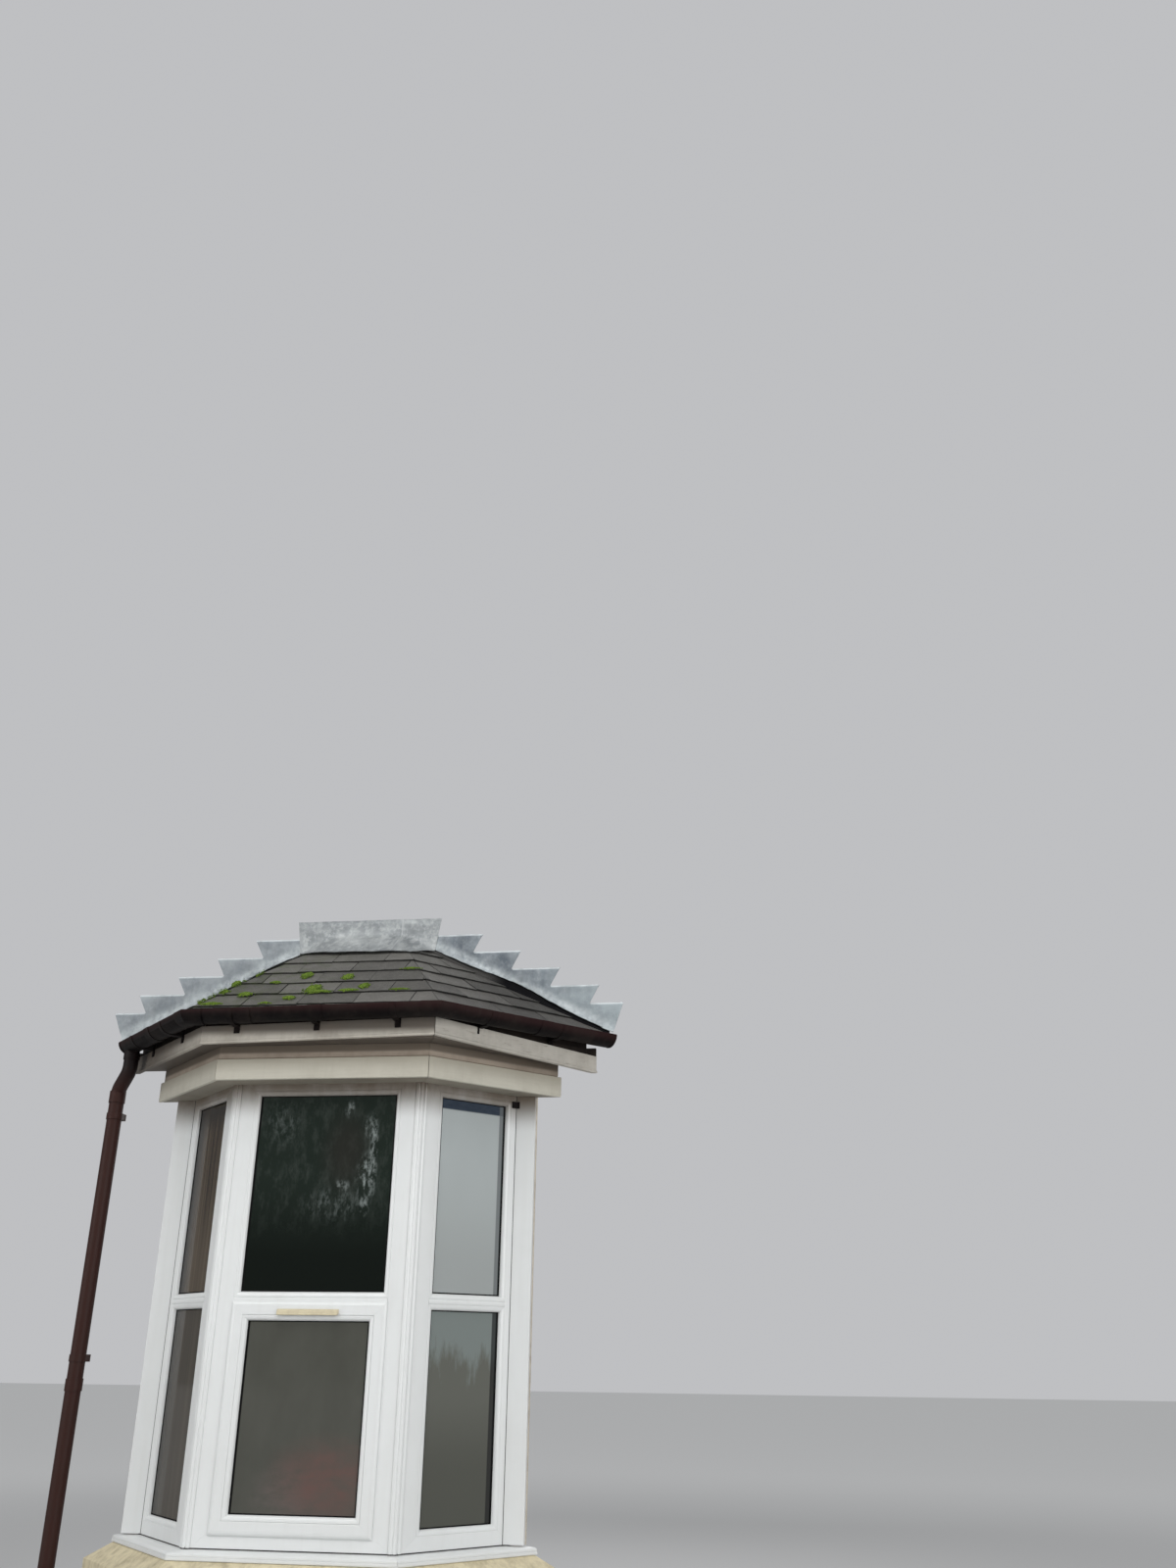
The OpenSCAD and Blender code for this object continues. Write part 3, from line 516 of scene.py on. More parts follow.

# The stone sill
# Three cut stones with a weathered top, mitred at the corners and bedded on the bricks. They are painted sand
# colour, and the paint is dirty in patches and in runs down the faces.
sill_finish = soiled("painted stone", 0.8, 0.3, (0.66, 0.585, 0.405), (0.26, 0.22, 0.14), 0.55, 0.45, 16,
                     grain=(70, 8, 0.7), relief=(0.35, 0.003))
STONE_TOP, STONE_NOSE = 0.775, 0.713


def path_of(out, far_left, far_right):
    """Corner points of a line that runs round the bay at one distance out, from left to right."""
    return [far_left, on_front(-corner_x(out), out, 0), on_front(corner_x(out), out, 0), far_right]


def run_around(bm, section, legs=(0, 1, 2), gap=0.0, pieces=1):
    """Draws a closed section (out, height) along the legs, mitred at the corners, with gaps between."""
    for leg in legs:
        rings = [[] for _ in range(pieces + 1)]
        for out, z in section:
            wall = Vector((wall_x(out), WALL_Y, 0))
            start, end = path_of(out, mirrored(wall), wall)[leg:leg + 2]
            inset = (end - start).normalized() * gap / 2
            for step, ring in enumerate(rings):
                ring.append((start + inset).lerp(end - inset, step / pieces) + Vector((0, 0, z)))
        drawn(bm, rings)
    return bm


stone_section = [(-0.120, BASE_H), (-0.120, STONE_TOP), (0.074, STONE_TOP), (0.163, STONE_NOSE),
                 (0.163, BASE_H + 0.003), (0.160, BASE_H)]
for leg, name in enumerate(LEGS):
    finished(f"stone_{name}", run_around(bmesh.new(), stone_section, (leg,), 0.002, 24), sill_finish,
             (f"stone_sill_{name}",), edge=0.003)

# The plastic window frames
# White hollow profiles, cut at 45 degrees and welded at the corners. Each light has a rounded
# glazing bead and a black gasket, and the opening sash laps over the front frame.
UP = (0, 0, 1)
SILL_Z, FRAME_Z, FRAME_TOP = 0.775, 0.811, 2.630
FRAME_D = 0.060
SASH_Z0, SASH_Z1, SASH_HALF = 0.855, 1.710, 0.333
SASH_OUT, SASH_RAIL, SASH_LAP = 0.010, 0.052, 0.012
UPPER_Z0, UPPER_Z1 = 1.749, 2.556
LOWER_Z0, LOWER_Z1 = 0.886, 1.684
FRONT_GLASS, SASH_GLASS, SASH_GLASS_IN = 0.309, 0.259, 0.074
SIDE_S0, SIDE_S1, STILE_END = 0.115, 0.457, 0.552
POST_S = 0.028
BEAD_W, WELD = 0.022, 0.0004
# Each profile runs inward from a bar's outer edge: the share of its width, then how far out it stands
BAR = [(0.0, -FRAME_D), (0.0, -0.001), (0.02, 0.0), (0.955, 0.0), (0.985, -0.0008), (1.0, -0.0022),
       (1.0, -FRAME_D)]
BEAD = [(0.01, -0.018), (0.01, -0.0022), (0.05, -0.0012), (0.30, -0.0010), (0.36, -0.0015), (0.52, -0.0022),
        (0.68, -0.0042), (0.82, -0.0078), (0.93, -0.0125), (1.0, -0.0180), (1.0, -0.0185), (0.01, -0.020)]
INNER_BEAD = [(0.1, -0.043), (0.1, -0.052), (0.5, -0.0545), (0.9, -0.050), (1.0, -0.0435)]
RAIL = [(0.0, 0.0002), (0.0, 0.0030), (0.05, 0.0062), (0.15, 0.0086), (0.27, 0.0097), (0.295, 0.0088),
        (0.32, 0.0100), (0.955, 0.0100), (0.985, 0.0088), (1.0, 0.006), (1.0, -0.040), (0.24, -0.040),
        (0.24, 0.0002)]


def spread(tree, along, low, high):
    """How far a place lies between two values along a direction, from 0 to 1."""
    place = measured(tree, "DOT_PRODUCT", place_in(tree), along)
    return between(tree, place, low, high, interpolation_type="SMOOTHSTEP")


upvc_finish, tree, shader = material("white plastic", 0.28)
# The frames darken toward their heads under the frieze: painted shade with some dirt, mottled by a noise.
haze = noise_in(tree, 9, 5, 0.6, (1, 1, 0.5))
shade_and_grime_above = product(tree, spread(tree, UP, 2.44, 2.60), between(tree, haze, -1.2, 0.55))
tint = mixed(tree, shade_and_grime_above, (0.745, 0.76, 0.755), (0.140, 0.112, 0.084))
weathered(tree, shader, tint, (0.45, 0.44, 0.40), 0.10, 0.08, 3)
rubber_finish, tree, shader = material("black gasket", 0.8, specular=0.05)
give(shader.inputs["Base Color"], (0.006, 0.006, 0.006))
bumped(tree, shader, noise_in(tree, 400), 0.2, 0.0005)


def ring_of_bars(bm, place, rect, widths, profile, out=0.0, grow=0.0, gap=WELD):
    """Four mitred bars round a rectangle. The widths are those of the left, right, bottom and top bar."""
    for side in range(4):
        rings = ([], [])
        for share, forward in profile:
            x0, x1, z0, z1 = (edge + turn * (share * width - grow)
                              for edge, width, turn in zip(rect, widths, (1, -1, 1, -1)))
            corners = [Vector(c) for c in ((x0, z0), (x1, z0), (x1, z1), (x0, z1))]
            start, end = corners[side], corners[(side + 1) % 4]
            weld = (end - start).normalized() * gap / 2
            for ring, (x, z) in zip(rings, (start + weld, end - weld)):
                ring.append(place(x, out + forward, z))
        drawn(bm, rings)
    return bm


def light_trim(name, place, rect, out=0.0):
    """The bead and the gasket of one light, whose glass fills the rectangle."""
    bm = bmesh.new()
    for profile in (BEAD, INNER_BEAD):
        ring_of_bars(bm, place, rect, (BEAD_W,) * 4, profile, out, BEAD_W)
    finished(name + "_bead", bm, upvc_finish)
    seal = (0.010, 0.006, 0.006, 0.005) if place is on_front else (0.006, 0.010, 0.006, 0.005)
    bm = bmesh.new()
    for face in (-0.0168, -0.0431):
        lip = [(0, face), (0.6, face), (1, face - 0.0009), (1, face - 0.0012), (0, face - 0.0012)]
        ring_of_bars(bm, place, rect, seal, lip, out, 0.001, 0)
    finished(name + "_gasket", bm, rubber_finish)


def transom(bm, place, start, end, z_low, edge, shoulder, crown):
    """The bar under the upper light, with rounded edges and a low ridge along its middle."""
    z_high = UPPER_Z0 - BEAD_W
    ridge = [(z_low, -FRAME_D), (z_low, -edge), (z_low + edge, shoulder), ((z_low + z_high) / 2, crown),
             (z_high - 0.003, shoulder), (z_high, -0.003), (z_high, -FRAME_D)]
    drawn(bm, [[place(s, out, z) for z, out in ridge] for s in (start + WELD, end - WELD)])


# Front frame: outer ring, the transom between the fixed light and the sash, and the jambs at the sash
edge_x, inner_x = FRONT_HALF - POST_S, FRONT_GLASS + BEAD_W
stile_w, head_w = edge_x - inner_x, FRAME_TOP - UPPER_Z1 - BEAD_W
bm = ring_of_bars(bmesh.new(), on_front, (-edge_x, edge_x, FRAME_Z, FRAME_TOP),
                  (stile_w, stile_w, SASH_Z0 + SASH_LAP - FRAME_Z, head_w), BAR)
transom(bm, on_front, -inner_x, inner_x, SASH_Z1 - SASH_LAP, 0.002, 0.0, 0.0012)
for side in (-1, 1):
    box(bm, on_front, sorted((side * inner_x, side * (SASH_HALF - SASH_LAP))), (-FRAME_D, -0.002),
        (SASH_Z0 + SASH_LAP, SASH_Z1 - SASH_LAP))
finished("front_frame", bm, upvc_finish, ("frame_front",))
light_trim("front_upper", on_front, (-FRONT_GLASS, FRONT_GLASS, UPPER_Z0, UPPER_Z1))

# The sash: a rounded outer edge that laps the frame, a flat with a fine groove, then the bead
bm = ring_of_bars(bmesh.new(), on_front, (-SASH_HALF, SASH_HALF, SASH_Z0, SASH_Z1), (SASH_RAIL,) * 4, RAIL)
finished("sash", bm, upvc_finish, ("sash_front",))
light_trim("sash", on_front, (-SASH_GLASS, SASH_GLASS, SASH_Z0 + SASH_GLASS_IN, SASH_Z1 - SASH_GLASS_IN),
           SASH_OUT)

# Side frames: the same ring with a ridged transom, and cut off where the wall begins
for name, place in (("left", on_left), ("right", on_right)):
    bm = ring_of_bars(bmesh.new(), place, (POST_S, STILE_END, FRAME_Z, FRAME_TOP),
                      (SIDE_S0 - BEAD_W - POST_S, STILE_END - SIDE_S1 - BEAD_W, LOWER_Z0 - BEAD_W - FRAME_Z,
                       head_w), BAR)
    transom(bm, place, SIDE_S0 - BEAD_W, SIDE_S1 + BEAD_W, LOWER_Z1 + BEAD_W, 0.003, -0.0005, 0.0010)
    cut_at_wall(bm)
    finished(f"{name}_frame", bm, upvc_finish, (f"frame_{name}",))
    light_trim(f"{name}_upper", place, (SIDE_S0, SIDE_S1, UPPER_Z0, UPPER_Z1))
    light_trim(f"{name}_lower", place, (SIDE_S0, SIDE_S1, LOWER_Z0, LOWER_Z1))

# The sill profile under the frames, with a rounded nose, and the dark joint of sealant over it
JOINT_Z = FRAME_Z - 0.0045
sill_section = [(-0.060, SILL_Z), (-0.060, JOINT_Z), (0.001, JOINT_Z), (0.058, 0.8045), (0.072, 0.8015),
                (0.078, 0.7965), (0.0785, 0.7905), (0.0765, 0.7895), (0.0785, 0.7885), (0.080, 0.7820),
                (0.0785, 0.7770), (0.074, SILL_Z)]
finished("plastic_sill", run_around(bmesh.new(), sill_section, gap=0.0008), upvc_finish,
         ("frame_sill",))
dark_sealant = soiled("dark sealant", 0.7, 0.5, (0.035, 0.032, 0.030), (0.012, 0.011, 0.010), 0.8, 0.2, 40)
bm = run_around(bmesh.new(), [(-0.058, JOINT_Z), (-0.058, FRAME_Z), (-0.003, FRAME_Z), (-0.003, JOINT_Z)])
for place, at in ((on_left, 0.012), (on_front, FRONT_HALF - 0.020), (on_front, 0.010 - FRONT_HALF),
                  (on_right, 0.006)):
    box(bm, place, (at - 0.006, at + 0.009), (-0.002, 0.0035), (JOINT_Z, FRAME_Z + 0.004))
finished("sill_joint", bm, dark_sealant)

# Corner posts and wall trims
# A ribbed cover clips over the pole at each corner, and a flat trim closes the joint between each
# side frame and the bricks. The trims stand on the sill and are run round with sealant.
SOFFIT_Z = 2.606
TRIM_S, TRIM_HALF = 0.507, 0.862


def clamped(value):
    """A value kept between 0 and 1."""
    return min(1.0, max(0.0, value))


def lifted(place, z):
    """A place moved straight up or down to a height."""
    return Vector((place.x, place.y, z))


for name, place, hand in (("right", on_right, 1), ("left", on_left, -1)):
    facing, aside = Vector((0, -1, 0)), Vector((hand * NX, -NY, 0))
    line = []
    for k in range(49):
        u = k / 24 - 1
        out = 0.0025 + 0.0045 * abs(math.cos(1.5 * math.pi * u)) ** 0.7 if abs(u) < 0.96 else 0.0002
        root = place(u * POST_S, 0, 0) if u > 0 else on_front(hand * (FRONT_HALF + u * POST_S), 0, 0)
        line.append(root + facing.lerp(aside, clamped(u / 0.30 + 0.5)).normalized() * out)
    line += [place(POST_S, -FRAME_D, 0), on_front(hand * corner_x(-FRAME_D), -FRAME_D, 0),
             on_front(hand * (FRONT_HALF - POST_S), -FRAME_D, 0)]
    bm = drawn(bmesh.new(), [[lifted(p, z) for p in line] for z in (FRAME_Z, FRAME_TOP)])
    finished(f"post_{name}", bm, upvc_finish, (f"corner_post_{name}",), smooth=40)


def eased(name, node_name, finish, edge, smooth=35, change=None):
    """A piece with the node's own shape, its edges eased."""
    bm = bmesh.new()
    bm.from_mesh(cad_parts[node_name].data)
    bmesh.ops.remove_doubles(bm, verts=bm.verts, dist=2e-5)
    bmesh.ops.dissolve_limit(bm, angle_limit=math.radians(1), verts=bm.verts, edges=bm.edges)
    if change:
        change(bm)
    finished(name, bm, finish, (node_name,), smooth, edge)


eased("trim_left", "wall_trim_left", upvc_finish, 0.0015)
eased("trim_right", "wall_trim_right", upvc_finish, 0.0015)
eased("inside_board", "window_board", upvc_finish, 0.003)
sealant_finish = soiled("beige sealant", 0.75, 0.5, (0.55, 0.50, 0.42), (0.20, 0.17, 0.13), 0.5, 0.3, 20)
bm = bmesh.new()
for side in (-1, 1):
    rings = []
    for k in range(61):
        z = FRAME_Z + (SOFFIT_Z - FRAME_Z) * k / 60
        swell = 0.005 + 0.0015 * noise.noise(Vector((side, 0, z * 25)))
        rings.append([(side * (TRIM_HALF + swell * more), WALL_Y - swell * down, z)
                      for more, down in ((0, 0), (1, 0), (0.6, 0.7), (0, 1))])
    drawn(bm, rings)
finished("wall_sealant", bm, sealant_finish, smooth=60)
bm = bmesh.new()
for place in (on_left, on_right):
    box(bm, place, (TRIM_S - 0.0022, TRIM_S + 0.0002), (0.0001, 0.0011), (FRAME_Z, SOFFIT_Z))
finished("trim_joints", bm, dark_sealant)

# Glass
# Sealed units set behind the gaskets. The room behind is dark, so each pane has its own tones painted on the
# glass: a painted reflection of trees in the front panes, a curtain in the left ones and a painted reflection
# of pale sky in the right ones.
DOWN, LEFTWARD, RIGHTWARD = (0, 0, -1), (-1, 0, 0), (1, 0, 0)
TO_WALL, TO_WALL_LEFT = (NY, NX, 0), (-NY, NX, 0)
FROM_CORNER = NY * FRONT_HALF + NX * (WALL_Y - PROJECTION)


def near(tree, x, z, across, up):
    """1 at a place on a pane and 0 beyond its reach across and up."""
    centred = add(tree, "ShaderNodeMapping", {"Vector": place_in(tree), "Scale": (1 / across, 1 / 9, 1 / up),
                                              "Location": (-x / across, 0, -z / up)})
    far = measured(tree, "LENGTH", centred.outputs[0])
    return between(tree, far, 1.0, 0.15, interpolation_type="SMOOTHSTEP")


def layered(tree, color, *layers):
    """Tints laid over a colour in turn, each given with the masks and shares that thin it."""
    for tint, *masks in layers:
        color = mixed(tree, product(tree, *masks), color, tint)
    return color


def glaze(node_name, shader, finish, color):
    """Gives a glass node its colour and its finish."""
    give(shader.inputs["Base Color"], color)
    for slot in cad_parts[node_name].material_slots:
        slot.material = finish


# The fixed front light carries a painted reflection of trees, with painted sky glints through gaps in the
# leaves.
finish, tree, shader = material("front glass", 0.05, specular=0.3)
reflected_branches = between(tree, noise_in(tree, 24, 9, 0.75, (1, 1, 0.45)), 0.47, 0.70)
color = layered(tree, (0.0030, 0.0052, 0.0034),
                ((0.0115, 0.0180, 0.0135), spread(tree, UP, 1.85, 2.25)),
                ((0.052, 0.061, 0.054), reflected_branches, spread(tree, UP, 1.92, 2.18), 0.6),
                ((0.026, 0.0215, 0.0185), near(tree, 0.10, 2.32, 0.15, 0.24), 0.5))
reflected_leaves = between(tree, noise_in(tree, 54, 6, 0.66, (1, 1, 0.5)), 0.47, 0.66)
clear = spread(tree, LEFTWARD, -0.248, -0.232)
# Each painted sky glint through a gap in the reflected leaves: its place across and up, its reach both ways,
# and how bright it is
for *gap, amount in ((0.200, 2.21, 0.065, 0.13, 1.2), (0.220, 2.33, 0.028, 0.16, 1.0),
                     (0.100, 2.50, 0.030, 0.05, 0.9), (0.086, 2.175, 0.050, 0.035, 0.9),
                     (0.192, 2.085, 0.040, 0.05, 0.8), (0.06, 2.10, 0.18, 0.10, 0.32),
                     (-0.20, 2.43, 0.12, 0.14, 0.22), (0.20, 2.42, 0.05, 0.08, 0.6)):
    color = layered(tree, color, ((0.23, 0.26, 0.25), reflected_leaves, near(tree, *gap), clear, amount))
glaze("glass_front_upper", shader, finish, color)

finish, tree, shader = material("sash glass", 0.06, specular=0.4)
haze = noise_in(tree, 5, 5, 0.6, (1, 1, 0.5))
folds = between(tree, noise_in(tree, 9, 6, 0.65, (1, 1, 2.2)), 0.34, 0.60)
glow = near(tree, 0.13, 1.05, 0.30, 0.20)
color = layered(tree, (0.064, 0.065, 0.054), ((0.080, 0.081, 0.069), between(tree, haze, 0.35, 0.7)),
                ((0.120, 0.104, 0.096), near(tree, -0.03, 0.99, 0.20, 0.17), folds, 0.75),
                ((0.122, 0.072, 0.062), glow, between(tree, folds, -0.6, 1.0), 0.95))
glaze("glass_front_sash", shader, finish, color)

finish, tree, shader = material("left glass", 0.05, specular=0.14)
color = ramp_of(tree, noise_in(tree, 1.0, 4, 0.6, (34, 34, 0.7)),
                [(0.36, (0.019, 0.013, 0.008)), (0.50, (0.054, 0.039, 0.026)), (0.66, (0.116, 0.091, 0.062))])
far_end = spread(tree, TO_WALL_LEFT, FROM_CORNER + 0.33, FROM_CORNER + 0.45)
color = layered(tree, color, ((0.120, 0.095, 0.068), spread(tree, DOWN, -2.25, -1.85), 0.5),
                ((0.012, 0.010, 0.009), far_end),
                ((0.016, 0.013, 0.011), spread(tree, UP, 2.42, 2.52), 0.7),
                ((0.052, 0.049, 0.042), spread(tree, DOWN, -1.74, -1.66), 0.65))
glaze("glass_left", shader, finish, color)

# The right panes carry a painted reflection: pale sky under a dark roofline in the upper one, treetops under
# pale sky in the lower one, and dark strips along the edges.
finish, tree, shader = material("right glass", 0.05, specular=0.4)
cloud = noise_in(tree, 6, 4, 0.5, (1, 1, 0.5))
reflected_roofline = mixed(tree, noise_in(tree, 30, 2, 0.5, (1, 1, 4)), (0.018, 0.028, 0.045),
                 (0.045, 0.060, 0.085))
upper = layered(tree, (0.335, 0.356, 0.351), ((0.420, 0.455, 0.455), spread(tree, UP, 1.80, 2.35)),
                ((0.350, 0.375, 0.375), between(tree, cloud, 0.35, 0.7), 0.25),
                (reflected_roofline, spread(tree, UP, 2.508, 2.515)))
reflected_treetops = reckon(tree, "MULTIPLY_ADD", noise_in(tree, 13, 6, 0.7, (1, 1, 0.2)), 0.55,
                  measured(tree, "DOT_PRODUCT", place_in(tree), UP))
lower = layered(tree, (0.080, 0.082, 0.069), ((0.122, 0.125, 0.109), spread(tree, UP, 1.05, 1.45)),
                ((0.190, 0.217, 0.208), between(tree, reflected_treetops, 1.74, 1.83)))
over_transom = spread(tree, UP, 1.715, 1.717)
edge_tone = mixed(tree, over_transom, (0.010, 0.010, 0.011), (0.130, 0.142, 0.146))
edge, beyond = (spread(tree, TO_WALL, FROM_CORNER + low, FROM_CORNER + high)
                for low, high in ((0.424, 0.430), (0.446, 0.449)))
color = layered(tree, lower, (upper, over_transom), (edge_tone, edge, 0.8), ((0.012, 0.013, 0.016), beyond))
glaze("glass_right", shader, finish, color)

# Vent, clip and inside boards
# A cream trickle vent with a hood is screwed on the sash, and a black clip holds the top of the
# right trim. The ceiling board and the window board close the bay on the room's side.
VENT_HALF, VENT_Z0, VENT_H = 0.131, 1.658, 0.023
GRILLE_HALF, GRILLE_BARS, GRILLE_BAR_W = VENT_HALF - 0.012, 24, 0.0016
vent_finish = soiled("cream plastic", 0.45, 0.5, (0.62, 0.55, 0.38), (0.30, 0.25, 0.18), 0.35, 0.2, 30)
clip_finish = soiled("black plastic", 0.6, 0.12, (0.005, 0.003, 0.0035), (0.014, 0.010, 0.010), 0.5, 0.0, 90)
plaster_finish = soiled("painted plaster", 0.85, 0.5, (0.72, 0.72, 0.69), (0.45, 0.42, 0.36), 0.3, 0.0, 4,
                        grain=(90,), relief=(0.15, 0.001))
hood = [(0, 0.004), (0, VENT_H), (0.006, VENT_H), (0.0115, VENT_H - 0.005), (0.0138, 0.008), (0.014, 0),
        (0.012, 0), (0.011, 0.006)]
bm = drawn(bmesh.new(), [[on_front(x, SASH_OUT + out, VENT_Z0 + z) for out, z in hood]
                         for x in (-VENT_HALF, VENT_HALF)])
for k in range(GRILLE_BARS):
    x = GRILLE_HALF * (2 * k / (GRILLE_BARS - 1) - 1)
    box(bm, on_front, (x - GRILLE_BAR_W / 2, x + GRILLE_BAR_W / 2), (SASH_OUT, SASH_OUT + 0.0115),
        (VENT_Z0 + 0.0005, VENT_Z0 + 0.006))
finished("vent", bm, vent_finish, ("trickle_vent",), edge=0.0006)
eased("clip", "black_clip", clip_finish, 0.0012)
eased("ceiling_board", "ceiling", plaster_finish, 0.001)

# Timbers
# Sawn softwood carries the roof: a beam over the frames, a ledger on the wall, and rafters between
# them. It shows from the back only, and its grain runs along each piece.


def timber(name, stretch, light=(0.46, 0.30, 0.16), dark=(0.27, 0.155, 0.075)):
    """Sawn wood whose grain is drawn out along one axis."""
    finish, tree, shader = material(name, 0.75, specular=0.3)
    rings = ramp_of(tree, noise_in(tree, 9, 7, 0.62, stretch), [(0.30, dark), (0.62, light)])
    weathered(tree, shader, rings, (0.16, 0.11, 0.07), 0.5, 0.0, 5)
    bumped(tree, shader, noise_in(tree, 120, 3, 0.6, stretch), 0.4, 0.002)
    return finish


level_wood = timber("level wood", (0.5, 6, 6))
eased("studs", "packing_studs", timber("upright wood", (6, 6, 0.5)), 0.001)
eased("beam", "head_beam", level_wood, 0.003)
eased("roof_timbers", "rafters", timber("sloping wood", (6, 0.6, 1.6)), 0.002)
eased("ledger", "wall_ledger", level_wood, 0.003)

# Painted boards under the eaves
# Frieze, bed board, soffits and fascia are planed boards, nailed up and painted long ago. The mitres have
# opened to dark lines, the paint is darkened under the gutter by grime and painted shade, the soffits are
# painted dark as shade, and the right fascia has dropped.


def board_paint(name, color, dirt, patches, runs, shade_and_grime_above=None, shade_and_soot=None, shade=0.0, peeling=0.0):
    """Old paint over planed wood, worn to the wood in patches. Above a height it is darkened by painted shade
    with some soot, and on the left leg by painted shade alone.
    """
    finish, tree, shader = material(name, 0.6, specular=0.3)
    grain = noise_in(tree, 12, 7, 0.68, (0.5, 0.5, 9))
    tint = layered(tree, color, (tuple(c * 0.72 for c in color), between(tree, grain, 0.45, 0.75), 0.25))
    if shade_and_grime_above:
        tint = layered(tree, tint, (shade_and_soot, spread(tree, UP, *shade_and_grime_above), 0.85),
                       (shade_and_soot, spread(tree, LEFTWARD, 0.50, 0.95), shade))
    if peeling:
        bare = between(tree, noise_in(tree, 60, 8, 0.72, (0.22, 0.22, 1.6)), 0.57, 0.66)
        tint = layered(tree, tint, ((0.17, 0.145, 0.12), bare, peeling))
    weathered(tree, shader, tint, dirt, patches, runs, 7)
    bumped(tree, shader, grain, 0.3, 0.0015)
    return finish


FRIEZE_TOP, EAVES_SOFFIT_Z, EAVES_BOARD_TOP, FASCIA_TOP = 2.696, 2.755, 2.767, 2.832
FASCIA_IN, FASCIA_OUT = 0.208, 0.226
BOARD_GAP = 0.0025
FASCIA_LIFT, FASCIA_SAG, FASCIA_DROP, FASCIA_SWING = 0.010, 0.012, 0.042, 0.024
# Paints that darken above a height carry painted shade there with some soot; the fascia's left leg is
# darkened further as painted shade.
frieze_paint = board_paint("frieze paint", (0.545, 0.522, 0.443), (0.30, 0.265, 0.21), 0.25, 0.12,
                           (2.625, 2.70), (0.35, 0.322, 0.26))
fascia_paint = board_paint("fascia paint", (0.56, 0.522, 0.455), (0.16, 0.13, 0.10), 0.40, 0.22,
                           (2.765, 2.805), (0.066, 0.052, 0.041), 0.85)
worn_paint = board_paint("worn fascia paint", (0.47, 0.445, 0.395), (0.22, 0.19, 0.16), 0.45, 0.18,
                         peeling=0.5)
grey_paint = board_paint("bed board paint", (0.36, 0.30, 0.24), (0.15, 0.12, 0.09), 0.5, 0.1,
                         (2.716, 2.730), (0.098, 0.078, 0.058))
# Both soffits face down into the shadow of the eaves, and their paint is dark as painted shade.
shaded_frieze_soffit_paint = board_paint("frieze soffit paint in shade", (0.29, 0.265, 0.215), (0.16, 0.14, 0.11), 0.5, 0.0)
shaded_soffit_paint = board_paint("eaves soffit paint in shade", (0.11, 0.092, 0.075), (0.06, 0.05, 0.04), 0.5, 0.0)


def fascia_share(place):
    """How far toward the wall a place lies, from 0 at the front corner to 1."""
    return (place.y - front_y(FASCIA_OUT)) / (WALL_Y - front_y(FASCIA_OUT))


def fascia_lean(place):
    """How far the fascia has moved up or down at a place along it."""
    corner = corner_x(FASCIA_OUT)
    if place.y <= front_y(FASCIA_IN - 0.001) and abs(place.x) <= corner:
        return (FASCIA_LIFT + FASCIA_SAG) * (place.x / corner + 1) / 2 - FASCIA_SAG
    if place.x < 0:
        return -FASCIA_SAG
    return FASCIA_LIFT - (FASCIA_LIFT + FASCIA_DROP) * fascia_share(place)


frieze_section = [(0.107, SOFFIT_Z), (0.107, FRIEZE_TOP), (0.125, FRIEZE_TOP), (0.125, SOFFIT_Z + 0.003),
                  (0.122, SOFFIT_Z)]
fascia_section = [(FASCIA_IN, EAVES_SOFFIT_Z), (FASCIA_IN, FASCIA_TOP), (FASCIA_OUT, FASCIA_TOP),
                  (FASCIA_OUT, EAVES_BOARD_TOP), (FASCIA_OUT + 0.003, EAVES_SOFFIT_Z + 0.009),
                  (FASCIA_OUT + 0.003, EAVES_SOFFIT_Z + 0.002), (FASCIA_OUT, EAVES_SOFFIT_Z)]
bed_section = [(0.095, FRIEZE_TOP + 0.002), (0.095, EAVES_SOFFIT_Z), (0.113, EAVES_SOFFIT_Z),
               (0.113, FRIEZE_TOP + 0.006), (0.109, FRIEZE_TOP + 0.002)]
frieze_soffit_section = [(0.0, SOFFIT_Z), (0.0, FRAME_TOP), (0.107, FRAME_TOP), (0.107, SOFFIT_Z)]
eaves_soffit_section = [(0.095, EAVES_SOFFIT_Z), (0.095, EAVES_BOARD_TOP), (FASCIA_IN, EAVES_BOARD_TOP),
                        (FASCIA_IN, EAVES_SOFFIT_Z)]
for leg, name in enumerate(LEGS):
    bm = run_around(bmesh.new(), frieze_section, (leg,), BOARD_GAP, 12)
    finished(f"frieze_board_{name}", bm, frieze_paint, (f"frieze_{name}",), edge=0.0015)
    bm = run_around(bmesh.new(), fascia_section, (leg,), BOARD_GAP, 12)
    for v in bm.verts:
        v.co.z += fascia_lean(v.co)
        if name == "right":
            v.co.x += FASCIA_SWING * fascia_share(v.co)
    finished(f"fascia_board_{name}", bm, worn_paint if name == "right" else fascia_paint,
             (f"fascia_{name}",), edge=0.001)
for name, section, paint, slot, gap, pieces in (
        ("bed_board", bed_section, grey_paint, "weathered_wood", 0.0012, 12),
        ("frieze_soffit", frieze_soffit_section, shaded_frieze_soffit_paint, "painted_wood", 0.001, 1),
        ("eaves_soffit", eaves_soffit_section, shaded_soffit_paint, "weathered_wood", 0.0012, 1)):
    bm = run_around(bmesh.new(), section, gap=gap, pieces=pieces)
    finished(name + "_piece", bm, paint, (name,), edge=0.001)

